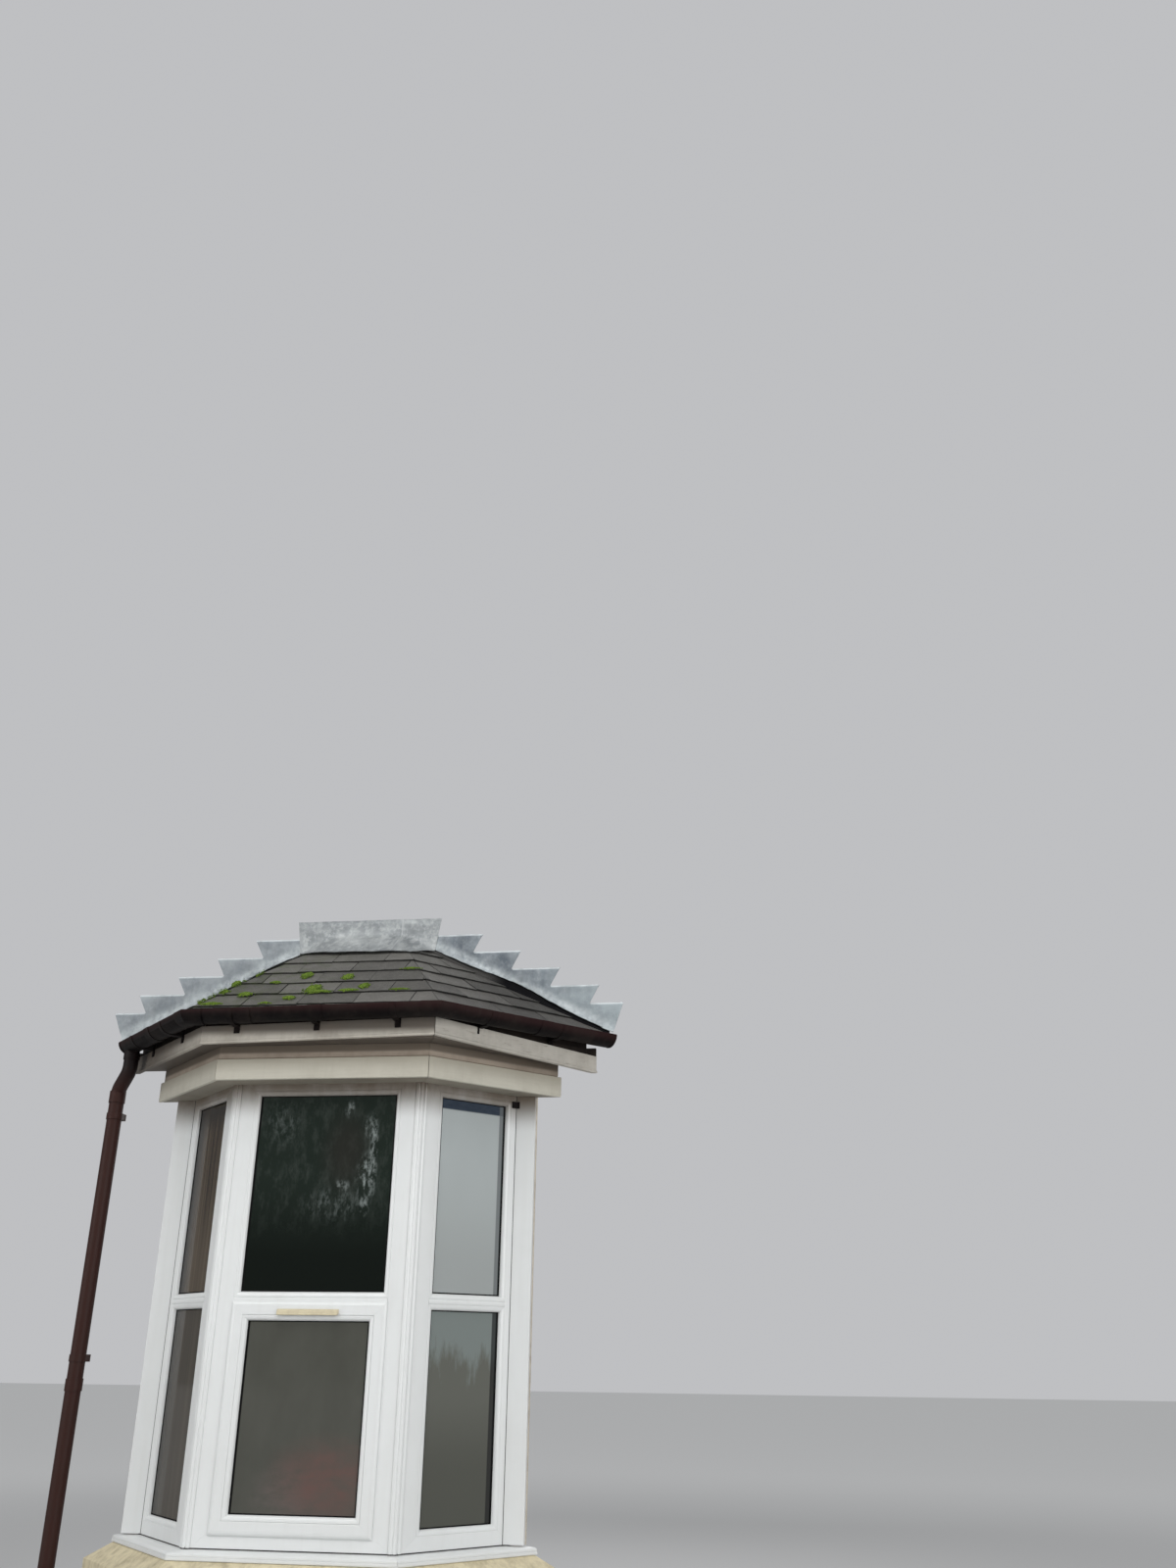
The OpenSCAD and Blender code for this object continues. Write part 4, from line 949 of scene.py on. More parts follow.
# Tilting fillets
# Sawn boards on edge close the eaves behind the gutter and lift the lowest slates. They are black with age
# and painted darker still as the shade behind the gutter, and they show where the fascia has dropped away
# from the gutter.
FILLET_Z, FILLET_TOP = EAVES_SOFFIT_Z + 0.013, 2.912
blackened_and_shaded_fillet_finish = soiled("blackened wood in shade", 0.85, 0.15, (0.013, 0.010, 0.009), (0.030, 0.023, 0.018), 0.8, 0.4,
                       9, grain=(60, 5, 0.6, (1, 1, 4)), relief=(0.5, 0.003))
bm = run_around(bmesh.new(), [(0.1985, FILLET_Z), (0.1985, 2.824), (0.2070, 2.824), (0.2070, FILLET_Z)],
                (2,), 0.003, 12)
for v in bm.verts:
    v.co.x += FASCIA_SWING * max(0.0, fascia_share(v.co))
run_around(bm, [(0.190, FILLET_Z), (0.190, FILLET_TOP), (0.2095, FILLET_TOP), (0.2095, 2.800),
                (0.2070, 2.798), (0.2070, FILLET_Z)], gap=0.003)
# The packing block at each wall end stands dark where the wall lies in shade, as painted shade: its side, its
# reach past the fascia, the fascia's drop and its top
for hand, past, drop, high in ((1, 0.022, FASCIA_DROP, 2.826), (-1, 0.0, FASCIA_SAG, 2.840)):
    box(bm, lambda s, out, z: Vector((hand * s, WALL_Y - out, z)), (wall_x(0.200), wall_x(FASCIA_OUT) + past),
        (0.0, 0.018), (FASCIA_TOP - drop + 0.001, high))
finished("eaves_fillets", bm, blackened_and_shaded_fillet_finish, edge=0.0015)

# Slates
# Dark slates, each nailed over the joint of the two below it, in courses of equal height on all
# three slopes. They are cut to a mitre on the hips and lie on sawn boards.
slate_finish, tree, shader = material("slate", 0.55, specular=0.35)
cloud = product(tree, noise_in(tree, 14, 6, 0.65), 0.62)
fine = reckon(tree, "MULTIPLY_ADD", noise_in(tree, 90, 6, 0.7), 0.55, cloud)
blend = reckon(tree, "MULTIPLY_ADD", fine, 0.9, product(tree, own(tree, "tone"), 0.30))
stone = ramp_of(tree, blend, [(0.30, (0.048, 0.045, 0.042)), (0.60, (0.104, 0.100, 0.092)),
                              (0.95, (0.185, 0.178, 0.164))])
# Painted shade: the slates grow darker toward the right slope.
right_slope_shade = mixed(tree, spread(tree, RIGHTWARD, 0.30, 0.80), (1.0, 1.0, 1.0), (0.66, 0.65, 0.65))
stone = mixed(tree, 1.0, stone, right_slope_shade, blend_type="MULTIPLY")
flecks = between(tree, noise_in(tree, 170, 3, 0.6), 0.66, 0.72)
film = between(tree, noise_in(tree, 18, 6, 0.7, (1, 1, 1.6)), 0.46, 0.72)
# The slates' edges and undersides are painted near black: painted shade under each course.
stone = layered(tree, stone, ((0.006, 0.006, 0.006), own(tree, "tail_shade"), 0.9),
                ((0.17, 0.17, 0.15), flecks, 0.5),
                ((0.060, 0.085, 0.022), film, spread(tree, LEFTWARD, -0.30, 0.45), 0.65))
weathered(tree, shader, stone, (0.10, 0.10, 0.085), 0.25, 0.0, 12)
bumped(tree, shader, noise_in(tree, 46, 8, 0.72, (1, 2.2, 1)), 0.9, 0.006)
# The roof boards are very dark: old wood, and painted shade where they show behind the gutter.
aged_and_shaded_board_wood = timber("roof boards", (0.6, 5, 5), (0.15, 0.105, 0.068), (0.07, 0.048, 0.032))

EAVES_Z, EAVES_OUT = 2.897, 0.288
FRONT_RISE, SIDE_RISE = 0.731, 0.66519
TOP_HALF = 0.160
COURSE_RISE, SLATE_COURSES, SLATE_SHIFT, SLOPE_HALF = 0.076, 8, 0.045, 0.70
SLATE_W, SLATE_T, SLATE_GAP, SLATE_CELLS = 0.250, 0.008, 0.0032, 9
BOARD_LOW, BOARD_HIGH, BOARD_UP = 0.028, 0.0235, 1.4
HIP_CORNER = on_front(corner_x(EAVES_OUT), EAVES_OUT, 0)
HIP_ALONG = Vector((TOP_HALF, WALL_Y, 0)) - HIP_CORNER
HIP_NORMAL = Vector((-HIP_ALONG.y, HIP_ALONG.x, 0)).normalized()
# Each slope: its rise, a place on its eaves, and the directions along them and uphill
SLOPES = {"front": (FRONT_RISE, on_front(0, EAVES_OUT, 0), Vector((1, 0, 0)), Vector((0, 1, 0))),
          "right": (SIDE_RISE, on_right(0.30, EAVES_OUT, 0), Vector((NY, NX, 0)), Vector((-NX, NY, 0))),
          "left": (SIDE_RISE, on_left(0.30, EAVES_OUT, 0), Vector((NY, -NX, 0)), Vector((NX, NY, 0)))}


def slate_shape(length, seed):
    """One slate: a thin sheet, hinged at its tail's upper edge, whose tail is chipped by hand."""
    bm = bmesh.new()
    chance = random.Random(seed)
    across = [(SLATE_W - SLATE_GAP) * (i / SLATE_CELLS - 0.5) for i in range(SLATE_CELLS + 1)]
    wander = [chance.uniform(-0.0030, 0.0010) for _ in across]
    rows = []
    for z, back in ((0.0, 0.0), (-SLATE_T, 0.0015)):
        worn = [(x, edge + back + chance.uniform(0, 0.0012), z + chance.uniform(-0.0008, 0.0004))
                for x, edge in zip(across, wander)]
        rows += [[bm.verts.new(p) for p in line] for line in (worn, [(x, length, z) for x in across])]
    tail, head, low_tail, low_head = rows
    for i in range(SLATE_CELLS):
        bm.faces.new((tail[i], tail[i + 1], head[i + 1], head[i]))
        bm.faces.new((low_tail[i], low_head[i], low_head[i + 1], low_tail[i + 1]))
        bm.faces.new((tail[i], low_tail[i], low_tail[i + 1], tail[i + 1]))
        bm.faces.new((head[i], head[i + 1], low_head[i + 1], low_head[i]))
    bm.faces.new((tail[0], head[0], low_head[0], low_tail[0]))
    bm.faces.new((tail[-1], low_tail[-1], low_head[-1], head[-1]))
    # Faces that reach below the slate's middle, its edges and underside, are marked for painted shade.
    tail_shade = bm.faces.layers.float.new("tail_shade")
    for face in bm.faces:
        face[tail_shade] = 0.0 if all(v.co.z > -SLATE_T / 2 for v in face.verts) else 1.0
    return bm


def gauge_of(rise):
    """The part of each slate that shows, measured up the slope."""
    return math.hypot(COURSE_RISE / rise, COURSE_RISE)


def slope_places(rise, start, along, uphill, seed):
    """Places of the slates on one slope, course by course from the eaves."""
    chance = random.Random(seed)
    turn = (math.atan(rise) - math.atan(SLATE_T / gauge_of(rise)), 0, math.atan2(along.y, along.x))
    places = []
    for course in range(SLATE_COURSES):
        for n in range(-6, 7):
            x = (n + 0.5 * (course % 2)) * SLATE_W + SLATE_SHIFT
            if abs(x) > SLOPE_HALF + SLATE_W:
                continue
            up = course * COURSE_RISE / rise + chance.uniform(-0.003, 0.003)
            height = EAVES_Z + up * rise + chance.uniform(-0.0012, 0.0012)
            places.append((lifted(start + along * x + uphill * up, height), turn, (1, 1, 1)))
    return places


def cut_to_slope(bm, name, hip_gap=0.0):
    """Keeps what lies on one slope, between its hips and the wall."""
    for side, point, normal in (("right", HIP_CORNER, HIP_NORMAL),
                                ("left", mirrored(HIP_CORNER), mirrored(HIP_NORMAL))):
        if name in ("front", side):
            away = -normal if name == "front" else normal
            cut(bm, point - away * hip_gap, away)
    cut_at_wall(bm)


for name, (rise, start, along, uphill) in SLOPES.items():
    gauge = gauge_of(rise)
    places = slope_places(rise, start, along, uphill, 3 + len(name))
    under = [(p - Vector((0, 0, 0.0085)), turn, size)
             for p, turn, size in slope_places(rise, start + along * SLATE_W / 2, along, uphill, 4)
             if p.z < EAVES_Z + 0.01]
    meshes = []
    for k in range(3):
        slate = slate_shape(gauge * 1.18, 20 + k)
        meshes.append(laid(f"slates {name} {k}", places[k::3], slate, slate_finish, 31 + k, 0.005))
    meshes.append(laid(f"eaves slates {name}", under, slate_shape(gauge * 0.9, 25), slate_finish, 35, 0.002))
    bm = joined(meshes)
    cut_to_slope(bm, name, 0.001)
    finished(f"slates_{name}_laid", bm, slate_finish, (f"slates_{name}",), smooth=25, recalc=False)
    run = EAVES_OUT - FASCIA_IN
    section = [(run, BOARD_HIGH), (run + BOARD_UP, BOARD_HIGH), (run + BOARD_UP, BOARD_LOW), (run, BOARD_LOW)]
    bm = drawn(bmesh.new(), [[lifted(start + along * x + uphill * up, EAVES_Z + up * rise - under)
                              for up, under in section] for x in (-2.0, 2.0)])
    cut_to_slope(bm, name)
    finished(f"roof_boards_{name}", bm, aged_and_shaded_board_wood)

# Moss
# Cushions of moss grow on the tails of the slates, most of them on the left of the front slope,
# where water runs slowly toward the outlet.
moss_finish, tree, shader = material("moss", 0.95, specular=0.15)
specks = between(tree, noise_in(tree, 330, 4, 0.7), 0.34, 0.70)
shade = reckon(tree, "MULTIPLY_ADD", own(tree, "tone"), 0.45, product(tree, specks, 0.6))
green = ramp_of(tree, shade, [(0.05, (0.030, 0.050, 0.012)), (0.45, (0.100, 0.165, 0.024)),
                              (0.95, (0.250, 0.350, 0.055))])
give(shader.inputs["Base Color"], green)
bumped(tree, shader, noise_in(tree, 420, 4, 0.7), 0.9, 0.003)
# Each cushion: place across the slope, courses up it, number of grains, and its reach both ways
cushions = [(-0.144, 2.62, 504, 0.03, 0.3), (-0.06, 1.3, 720, 0.04, 0.42), (-0.02, 1.02, 552, 0.055, 0.1),
            (0.058, 2.36, 480, 0.028, 0.32), (0.165, 1.45, 408, 0.022, 0.3), (0.11, 1.08, 432, 0.05, 0.1),
            (-0.355, 0.92, 528, 0.036, 0.22), (-0.137, 0.52, 408, 0.032, 0.16), (-0.47, 0.1, 480, 0.05, 0.12),
            (-0.45, 1.95, 264, 0.024, 0.3), (-0.464, 1.2, 216, 0.024, 0.2), (-0.225, 0.06, 144, 0.03, 0.05),
            (0.33, 3.03, 192, 0.05, 0.05), (0.34, 1.04, 144, 0.06, 0.05), (-0.266, 1.98, 144, 0.03, 0.08)]
chance = random.Random(8)
tufts = []


def grow(place, finest, coarsest):
    """One grain of moss at a place, turned and sized by chance."""
    turn = (math.atan(FRONT_RISE), 0, chance.uniform(0, 3))
    tufts.append((place, turn, [chance.uniform(finest, coarsest)] * 3))


for x, courses, number, reach, climb in cushions:
    for _ in range(number):
        aside, up = chance.gauss(0, 0.36), chance.gauss(0, 0.36)
        course = max(0.02, courses + climb * up)
        high = 0.007 * max(0.0, 1 - aside * aside - up * up) * chance.uniform(0.5, 1)
        grow(Vector((x + reach * aside, front_y(EAVES_OUT) + course * COURSE_RISE / FRONT_RISE,
                     EAVES_Z + course * COURSE_RISE + high)), 0.0018, 0.0036)
hip_foot = lifted(mirrored(HIP_CORNER), EAVES_Z)
hip_head = Vector((-TOP_HALF, WALL_Y, EAVES_Z + FRONT_RISE * (EAVES_OUT + PROJECTION)))
for clump in range(17):
    middle = hip_foot.lerp(hip_head, chance.uniform(0.02, 0.22) if clump < 12 else chance.uniform(0.25, 0.55))
    for _ in range(34):
        along = HIP_ALONG.normalized() * chance.gauss(0, 0.012)
        grow(middle + along + Vector([chance.gauss(0, 0.0045) for _ in range(3)]), 0.0012, 0.0026)
tuft = bmesh.new()
bmesh.ops.create_icosphere(tuft, subdivisions=1, radius=1.0)
bm = joined([laid("moss cushions", tufts, tuft, moss_finish, 12, 0.4)])
finished("moss_cushions", bm, moss_finish, smooth=80, recalc=False)

# Lead
# Each brick course has its own stepped sheet, tucked into the joint and lapped over the one below.
# Soakers lie behind them, painted dark as the shade under the sheets, and one wide apron is dressed over the
# top of the roof.
STEP_Z, STEP_RISE, STEP_RUN, STEPS = 3.043, 0.0884, 0.191, 5
STEP_X, STEP_SLANT, TIP_MORE, STEP_END = wall_x(EAVES_OUT) - 0.096, 0.045, 0.018, 1.2630
APRON_FOOT, APRON_HALF, APRON_TOP, APRON_RUN = 0.335, 0.365, 3.485, 0.178
WALL_FALL = SIDE_RISE * NX
FOOT_LINE = EAVES_Z + WALL_FALL * wall_x(EAVES_OUT)
FOOT_CUTS = 14
LEAD_T, RIM_H = 0.003, 0.0066


def clouds(tree, scale, detail, roughness, seed=0.0):
    """A noise without depth as seen from the street, so that a folded sheet carries it unbroken."""
    inputs = {"Vector": place_in(tree), "Location": (seed, 0, 0), "Rotation": (0.30, 0, 0),
              "Scale": (1, 3.5, 1)}
    flat = add(tree, "ShaderNodeMapping", inputs, vector_type="TEXTURE")
    return noise_at(flat, scale, detail, roughness)


def lead_look(name, dark, color, patina, amount):
    """Grey sheet, clouded dark and light, under thin white patina."""
    finish, tree, shader = material(name, 0.6, 0.25, 0.35)
    bloom = between(tree, clouds(tree, 38, 9, 0.70, 3.0), 0.46, 0.74)
    tint = layered(tree, dark, (color, between(tree, clouds(tree, 9, 6, 0.60), 0.38, 0.62)),
                   (patina, bloom, amount))
    bumped(tree, shader, noise_in(tree, 40, 6, 0.65), 0.45, 0.003)
    return finish, tree, shader, tint, bloom


step_lead, tree, shader, tint, bloom = lead_look("step lead", (0.112, 0.134, 0.158), (0.275, 0.305, 0.325),
                                                 (0.40, 0.43, 0.44), 0.45)
above = reckon(tree, "MAXIMUM", *(spread(tree, (fall, 0, 1), FOOT_LINE + 0.034, FOOT_LINE + 0.080)
                                  for fall in (WALL_FALL, -WALL_FALL)))
lumps = between(tree, clouds(tree, 30, 4, 0.6, 7.0), 0.3, 0.6)
tint = layered(tree, tint, ((0.37, 0.42, 0.44), spread(tree, RIGHTWARD, 0.75, 1.20), 0.8),
               ((0.42, 0.45, 0.46), spread(tree, LEFTWARD, 0.10, 0.50), 0.35),
               ((0.50, 0.54, 0.55), reckon(tree, "SUBTRACT", 1.0, above), lumps, 0.9),
               # painted highlight: the top rim of each sheet is lightened where its turned-in edge catches
               # the light
               ((0.62, 0.66, 0.67), own(tree, "rim"), 0.75))
weathered(tree, shader, tint, (0.085, 0.095, 0.105), 0.4, 0.2, 11)
apron_lead, tree, shader, tint, bloom = lead_look("apron lead", (0.225, 0.242, 0.25), (0.38, 0.40, 0.402),
                                                  (0.62, 0.64, 0.635), 0.6)
# A thin light line where the apron is lapped: a painted highlight along the lap's edge.
lap_highlight = spread(tree, RIGHTWARD, 0.1655, 0.1685), spread(tree, LEFTWARD, -0.1745, -0.1705)
tint = layered(tree, tint, ((0.62, 0.64, 0.63), bloom, spread(tree, (0, 0.30, -1), -3.345, -3.29), 0.3),
               ((0.62, 0.64, 0.64), *lap_highlight, 0.35))
weathered(tree, shader, tint, (0.15, 0.16, 0.165), 0.4, 0.1, 11)
# The soakers are painted dark, near black on the right, as the shade under the sheets' lifted feet.
soaker_shade_lead, tree, shader = material("soaker lead in shade", 0.9, specular=0.05)
tint = mixed(tree, spread(tree, RIGHTWARD, 0.58, 0.70), (0.066, 0.064, 0.061), (0.007, 0.007, 0.008))
weathered(tree, shader, tint, (0.02, 0.02, 0.02), 0.3, 0.0, 11)


def roof_at_wall(x):
    """Height of the side slopes' slates where they meet the wall."""
    return FOOT_LINE - WALL_FALL * abs(x)


def net(bm, step):
    """Cuts a flat sheet into a fine net, so that it can be dented."""
    for axis in (Vector((1, 0, 0)), Vector((0, 0, 1))):
        values = [v.co.dot(axis) for v in bm.verts]
        at = min(values) + step
        while at < max(values) - step * 0.2:
            split(bm, axis * at, axis)
            at += step


def foot_lift(side, x):
    """How far a sheet's lower edge stands above the slates: the right ones were dressed unevenly."""
    if side < 0:
        return 0.006 + 0.003 * noise.noise(Vector((x * 30, 5, 0)))
    hump = math.exp(-((abs(x) - 0.76) / 0.17) ** 2)
    return 0.010 + 0.022 * hump + 0.004 * noise.noise(Vector((x * 26, 0, 0)))


def thickened(bm):
    """Turns a sheet's face to the street and gives it the thickness of the lead."""
    bmesh.ops.recalc_face_normals(bm, faces=bm.faces)
    if sum(f.normal.y for f in bm.faces) > 0:
        bmesh.ops.reverse_faces(bm, faces=bm.faces)
    bmesh.ops.solidify(bm, geom=bm.faces[:], thickness=LEAD_T)


def step_sheet(side, k):
    """The sheet of one brick course: its outline, cut to a net and dented, with a kick at the roof."""
    inner = STEP_X - STEP_RUN * k if k < STEPS - 1 else APRON_FOOT - 0.030
    head = STEP_Z + STEP_RISE * k
    if k:
        outer = STEP_X - STEP_RUN * (k - 1)
        tip, lap = outer + STEP_SLANT, outer + 0.062
        outline = [(inner, head), (tip, head), (outer, head - STEP_RISE)]
    else:
        outer = wall_x(EAVES_OUT)
        tip, lap = outer + STEP_SLANT + TIP_MORE, outer + (0.016 if side > 0 else 0.002)
        outline = [(inner, head), (tip, head)]
    for i in range(FOOT_CUTS + 1):
        x = lap + (inner + 0.012 - lap) * i / FOOT_CUTS
        outline.append((x, roof_at_wall(x) + foot_lift(side, x) + (0.004 if k and i == 0 else 0)))
    bm = bmesh.new()
    bm.faces.new([bm.verts.new((x, 0, z)) for x, z in outline])
    net(bm, 0.016)
    for below in (0.0065, 0.0085):
        split(bm, (0, 0, head - below), (0, 0, 1))
    # Points near each sheet's top rim are marked for the painted highlight.
    rim = bm.verts.layers.float.new("rim")
    bmesh.ops.triangulate(bm, faces=[f for f in bm.faces if len(f.verts) > 4])
    for v in bm.verts:
        x, z = v.co.x, v.co.z
        v[rim] = 1.0 if z > head - RIM_H else 0.0
        kick = max(0.0, 1 - (z - roof_at_wall(x)) / 0.040) * clamped((x - APRON_FOOT - 0.01) / 0.06)
        dent = noise.noise(Vector((side * 3 + x * 14, k, z * 14)))
        tucked = max(0.0, 1 - (head - z) / 0.010)
        proud = 0.0015 + 0.0045 * clamped((x - inner) / (tip - inner)) + 0.0022 * dent * (1 - tucked)
        proud += 0.024 * kick ** 2 * (0.75 + 0.5 * dent)
        v.co = Vector((side * (x + 0.0015 * dent), WALL_Y - LEAD_T - proud * (1 - 0.7 * tucked), z))
    thickened(bm)
    bmesh.ops.recalc_face_normals(bm, faces=bm.faces)
    mesh = bpy.data.meshes.new("step sheet")
    bm.to_mesh(mesh)
    bm.free()
    return mesh


bm = joined([step_sheet(side, k) for side in (1, -1) for k in range(STEPS)])
cut(bm, Vector((STEP_END, 0, 0)), Vector((1, 0, 0)))
finished("step_sheets", bm, step_lead, ("step_flashings",), smooth=45, recalc=False)

SOAKER_REACH, SOAKER_T = 0.022, 0.002
soaker_fall = SOAKER_REACH * NY * (WALL_FALL - SIDE_RISE)
bm = bmesh.new()
for side in (1, -1):
    section = [(0, 0, -0.018), (0, 0, 0.050), (0, SOAKER_T, 0.050), (0, SOAKER_T, 0.006),
               (SOAKER_REACH * NY, SOAKER_REACH, soaker_fall + 0.004),
               (SOAKER_REACH * NY, SOAKER_REACH, soaker_fall - 0.014)]
    drawn(bm, [[(side * (x - inward), WALL_Y - out, roof_at_wall(x) + z) for inward, out, z in section]
               for x in (APRON_FOOT - 0.040, wall_x(EAVES_OUT) - 0.002)])
finished("soakers", bm, soaker_shade_lead)


def roof_height(x, y):
    """Height of the slates' surface over a place, rounded over the hips."""
    on_the_front = EAVES_Z + FRONT_RISE * (y - front_y(EAVES_OUT))
    out = NX * (abs(x) - FRONT_HALF) - NY * (y - (WALL_Y - PROJECTION))
    on_the_side = EAVES_Z + SIDE_RISE * (EAVES_OUT - out)
    return (on_the_front + on_the_side - math.hypot(on_the_front - on_the_side, 0.020)) / 2 + 0.004


# The apron's points: columns from its foot on the slates, over the fold at the wall, to its head
ACROSS, UPWARD = 72, 36
FOLD_AT, STRAIGHT, SMOOTHINGS = 0.6, 0.80, 14
grid = []
for i in range(ACROSS + 1):
    u = 2 * i / ACROSS - 1
    share = max(0.0, (abs(u) - STRAIGHT) / (1 - STRAIGHT))
    half = u / STRAIGHT if share == 0 else math.copysign(1, u)
    ragged = 0.007 * noise.noise(Vector((u * 5, 2, 0)))
    droop = math.exp(-((abs(u) - 0.86) / 0.08) ** 2)
    run = APRON_RUN + 0.013 * clamped((u + 0.85) / 0.6) + ragged + 0.006 * droop
    reach = run * (1 - share) + 0.014 * share
    foot = Vector((half * 0.268 + math.copysign(0.070 * share, u), WALL_Y - reach, 0))
    fold = Vector((u * 0.340, WALL_Y - 0.005, 0))
    fold.z = roof_height(fold.x, fold.y) + 0.006
    top_edge = APRON_TOP - 0.001 - 0.003 * abs(noise.noise(Vector((u * 4, 9, 0))))
    head = Vector((u * APRON_HALF, WALL_Y - 0.005, top_edge))
    column = []
    for j in range(UPWARD + 1):
        v = j / UPWARD
        if v > FOLD_AT:
            column.append(fold.lerp(head, (v - FOLD_AT) / (1 - FOLD_AT)))
            continue
        place = foot.lerp(lifted(fold, 0), v / FOLD_AT)
        curl = math.exp(-(v / 0.05) ** 2) * (1 + noise.noise(Vector((u * 7, 4, 0))))
        column.append(lifted(place, roof_height(place.x, place.y) + 0.006 + 0.003 * curl))
    grid.append(column)
for column in grid:
    for _ in range(SMOOTHINGS):
        old = [p.copy() for p in column]
        for j in range(2, UPWARD - 3):
            column[j] = old[j] * 0.5 + (old[j - 1] + old[j + 1]) * 0.25
    for j, p in enumerate(column):
        dent = noise.noise(p * 11) * 0.6 + noise.noise(p * 27) * 0.4
        p.y -= 0.004 * (1 + dent) * (1 if j < UPWARD - 2 else 0.3)
        p.z += 0.003 * dent if j < UPWARD - 1 else 0
        p.y = min(p.y, WALL_Y - LEAD_T - 0.001)
bm = bmesh.new()
columns = [[bm.verts.new(p) for p in column] for column in grid]
for a, b in zip(columns, columns[1:]):
    for j in range(UPWARD):
        bm.faces.new((a[j], b[j], b[j + 1], a[j + 1]))
thickened(bm)
finished("apron_sheet", bm, apron_lead, ("apron_flashing",), smooth=60)

# Gutter and downpipe
# Dark brown half-round gutter in strap brackets, with angle pieces at the corners, unions between
# lengths and stop ends at the wall. It falls to the left, into a swan neck and a round pipe.


def brown_look(name, rough, specular, low, high, dark, light, dirt, patches, runs):
    """Moulded plastic whose tone changes between two heights, as painted shade."""
    finish, tree, shader = material(name, rough, specular=specular)
    weathered(tree, shader, mixed(tree, spread(tree, UP, low, high), dark, light), dirt, patches, runs, 7)
    bumped(tree, shader, noise_in(tree, 120), 0.1, 0.0008)
    return finish


# The gutter darkens toward its underside: painted shade.
brown_finish = brown_look("brown gutter", 0.55, 0.10, 2.838, 2.872, (0.0032, 0.0020, 0.0021),
                          (0.0185, 0.0068, 0.0070), (0.030, 0.022, 0.018), 0.35, 0.25)
# The pipe darkens toward its top, under the gutter: painted shade.
pipe_finish = brown_look("brown pipe", 0.5, 0.18, 2.63, 2.76, (0.036, 0.0130, 0.0100),
                         (0.0045, 0.0020, 0.0025), (0.030, 0.016, 0.012), 0.4, 0.35)
GUTTER_OUT, GUTTER_Z, GUTTER_R, GUTTER_T = 0.288, 2.885, 0.056, 0.003
GUTTER_LEFT_S, GUTTER_RIGHT_S, GUTTER_LIP, GUTTER_FALL = 0.7002, 0.8172, 0.005, 0.015
LIP_ANGLE = math.asin(GUTTER_LIP / GUTTER_R)
SLEEVE_T, SLEEVE_HALF, ANGLE_ARM = 0.0030, 0.032, 0.065
PIPE_R, PIPE_T, SOCKET_T = 0.034, 0.003, 0.0035
OUTLET = on_left(GUTTER_LEFT_S - 0.050, GUTTER_OUT, 0)
PIPE = Vector((OUTLET.x - 0.080, WALL_Y - 0.050, 0))
OUTLET_TOP, UPPER_BEND, LOWER_BEND, SHOE_Z = 2.8287, 2.7337, 2.6587, 0.120


def lowered(bm):
    """Lets a piece of the gutter fall to the left, and trims it along the wall."""
    cut_at_wall(bm, 0.009)
    for v in bm.verts:
        v.co.z -= GUTTER_FALL * clamped((0.45 - v.co.x) / 0.95)
        v.co.z += GUTTER_FALL / 3 * clamped((-0.55 - v.co.x) / 0.50)


def half_round(radius, steps):
    """A half circle about the gutter's middle, from its back edge to its street side."""
    turns = [math.pi + LIP_ANGLE + (math.pi - 2 * LIP_ANGLE) * i / steps for i in range(steps + 1)]
    return [(GUTTER_OUT + radius * math.cos(a), GUTTER_Z + radius * math.sin(a)) for a in turns]


def trough(r_out, r_in, lip=0.0035, steps=24):
    """Section of a half-round trough with a rolled lip on its street side."""
    ring = half_round(r_out, steps)
    out, z = ring[-1]
    turns = [math.pi * i / 6 for i in range(7)]
    bead = [(out - lip + lip * math.cos(a), z + lip * math.sin(a)) for a in turns]
    return ring[:-1] + bead + half_round(r_in, steps)[-2::-1]


def gutter_piece(name, bm, replaced=(), edge=0.0):
    """A length or a fitting of the gutter, brought into its fall."""
    lowered(bm)
    finished(name, bm, brown_finish, replaced, 40, edge)


rings = [[], [], [], []]
for out, z in trough(GUTTER_R, GUTTER_R - GUTTER_T):
    ends = on_left(GUTTER_LEFT_S, out, 0), on_right(GUTTER_RIGHT_S, out, 0)
    for ring, place in zip(rings, path_of(out, *ends)):
        ring.append(lifted(place, z))
gutter_piece("gutter_run", drawn(bmesh.new(), rings), ("gutter",))
section = trough(GUTTER_R + SLEEVE_T, GUTTER_R + 0.0002, 0.004, 18)
bm = bmesh.new()
for place, at in ((on_left, 0.31), (on_front, -0.30), (on_front, 0.02), (on_right, 0.42)):
    drawn(bm, [[place(s, out, z) for out, z in section] for s in (at - SLEEVE_HALF, at + SLEEVE_HALF)])
for side, place in ((-1, on_left), (1, on_right)):
    drawn(bm, [[place(ANGLE_ARM - GUTTER_OUT * MITRE, out, z) for out, z in section],
               [on_front(side * corner_x(out), out, z) for out, z in section],
               [on_front(side * (corner_x(GUTTER_OUT) - ANGLE_ARM), out, z) for out, z in section]])
gutter_piece("gutter_sleeves", bm, edge=0.0006)
bm = bmesh.new()
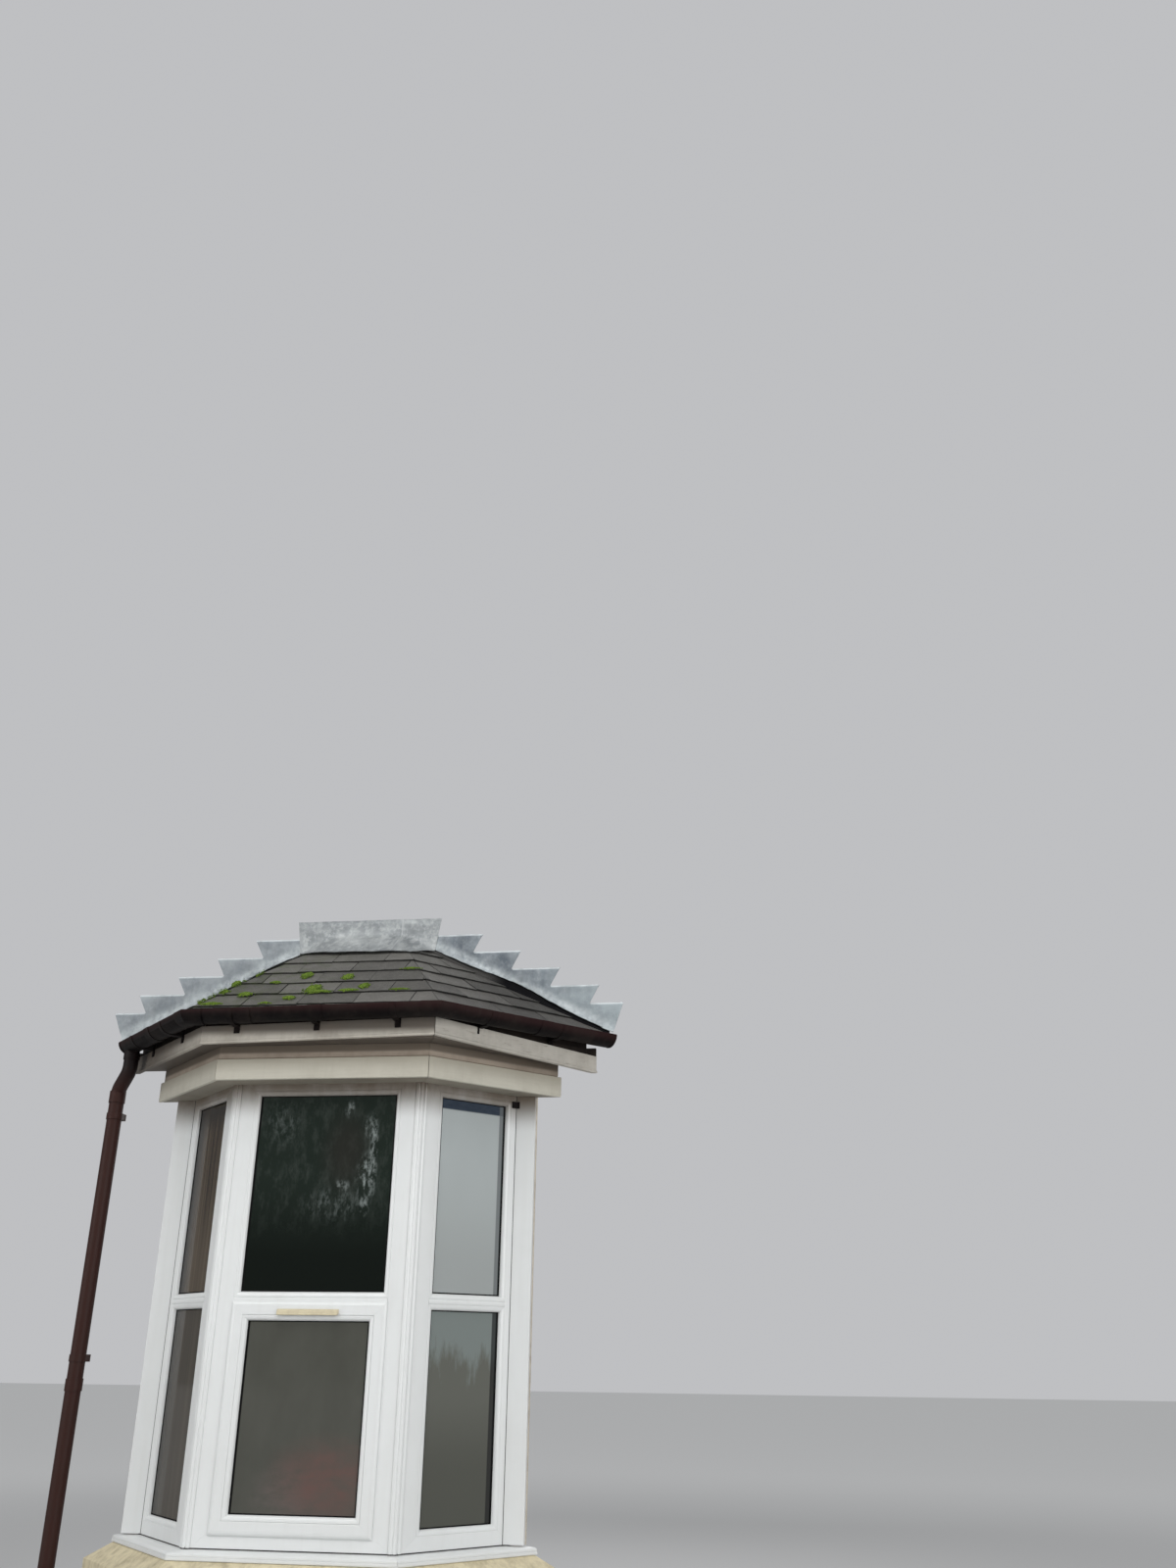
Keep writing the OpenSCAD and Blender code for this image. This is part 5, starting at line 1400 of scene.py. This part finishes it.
for place, end in ((on_left, GUTTER_LEFT_S), (on_right, GUTTER_RIGHT_S)):
    drawn(bm, [[place(s, out, z) for out, z in half_round(GUTTER_R + 0.0025, 24)]
               for s in (end - 0.012, end + 0.0002)])
gutter_piece("gutter_stop_ends", bm, edge=0.0008)
eased("gutter_straps", "gutter_brackets", brown_finish, 0.0005, 30, lowered)


def tube(bm, path, r_out, r_in, steps=32):
    """A hollow pipe along a line of points, with its wall closed at both ends."""
    rings = []
    side = Vector((1, 0, 0))
    for i, point in enumerate(path):
        along = (path[min(i + 1, len(path) - 1)] - path[max(i - 1, 0)]).normalized()
        side = (side - along * side.dot(along)).normalized()
        other = along.cross(side)
        rings.append([[bm.verts.new(point + (side * math.cos(a) + other * math.sin(a)) * r)
                       for a in (2 * math.pi * k / steps for k in range(steps))] for r in (r_out, r_in)])
    walls = [(one[layer], two[layer]) for one, two in zip(rings, rings[1:]) for layer in (0, 1)]
    for one, two in (*walls, rings[0], rings[-1]):
        for k in range(steps):
            bm.faces.new((one[k - 1], one[k], two[k], two[k - 1]))


def rounded(points, reach, steps=8):
    """A line of points whose inner corners are turned into arcs."""
    path = [points[0]]
    for before, corner, after in zip(points, points[1:], points[2:]):
        a = corner + (before - corner).normalized() * reach
        b = corner + (after - corner).normalized() * reach
        path += [a.lerp(corner, t).lerp(corner.lerp(b, t), t) for t in (k / steps for k in range(steps + 1))]
    return path + [points[-1]]


line = [lifted(OUTLET, OUTLET_TOP), lifted(OUTLET, UPPER_BEND), lifted(PIPE, LOWER_BEND),
        lifted(PIPE, SHOE_Z)]
bm = bmesh.new()
tube(bm, rounded(line, 0.030), PIPE_R, PIPE_R - PIPE_T)
for at, low, high in ((PIPE, LOWER_BEND - 0.062, LOWER_BEND - 0.007), (PIPE, 1.35, 1.40),
                      (OUTLET, OUTLET_TOP - 0.042, OUTLET_TOP - 0.010)):
    tube(bm, [lifted(at, low), lifted(at, high)], PIPE_R + SOCKET_T, PIPE_R - 0.0005)
finished("rain_pipe", bm, pipe_finish, ("downpipe",), smooth=50)
eased("pipe_straps", "pipe_clips", pipe_finish, 0.0008)
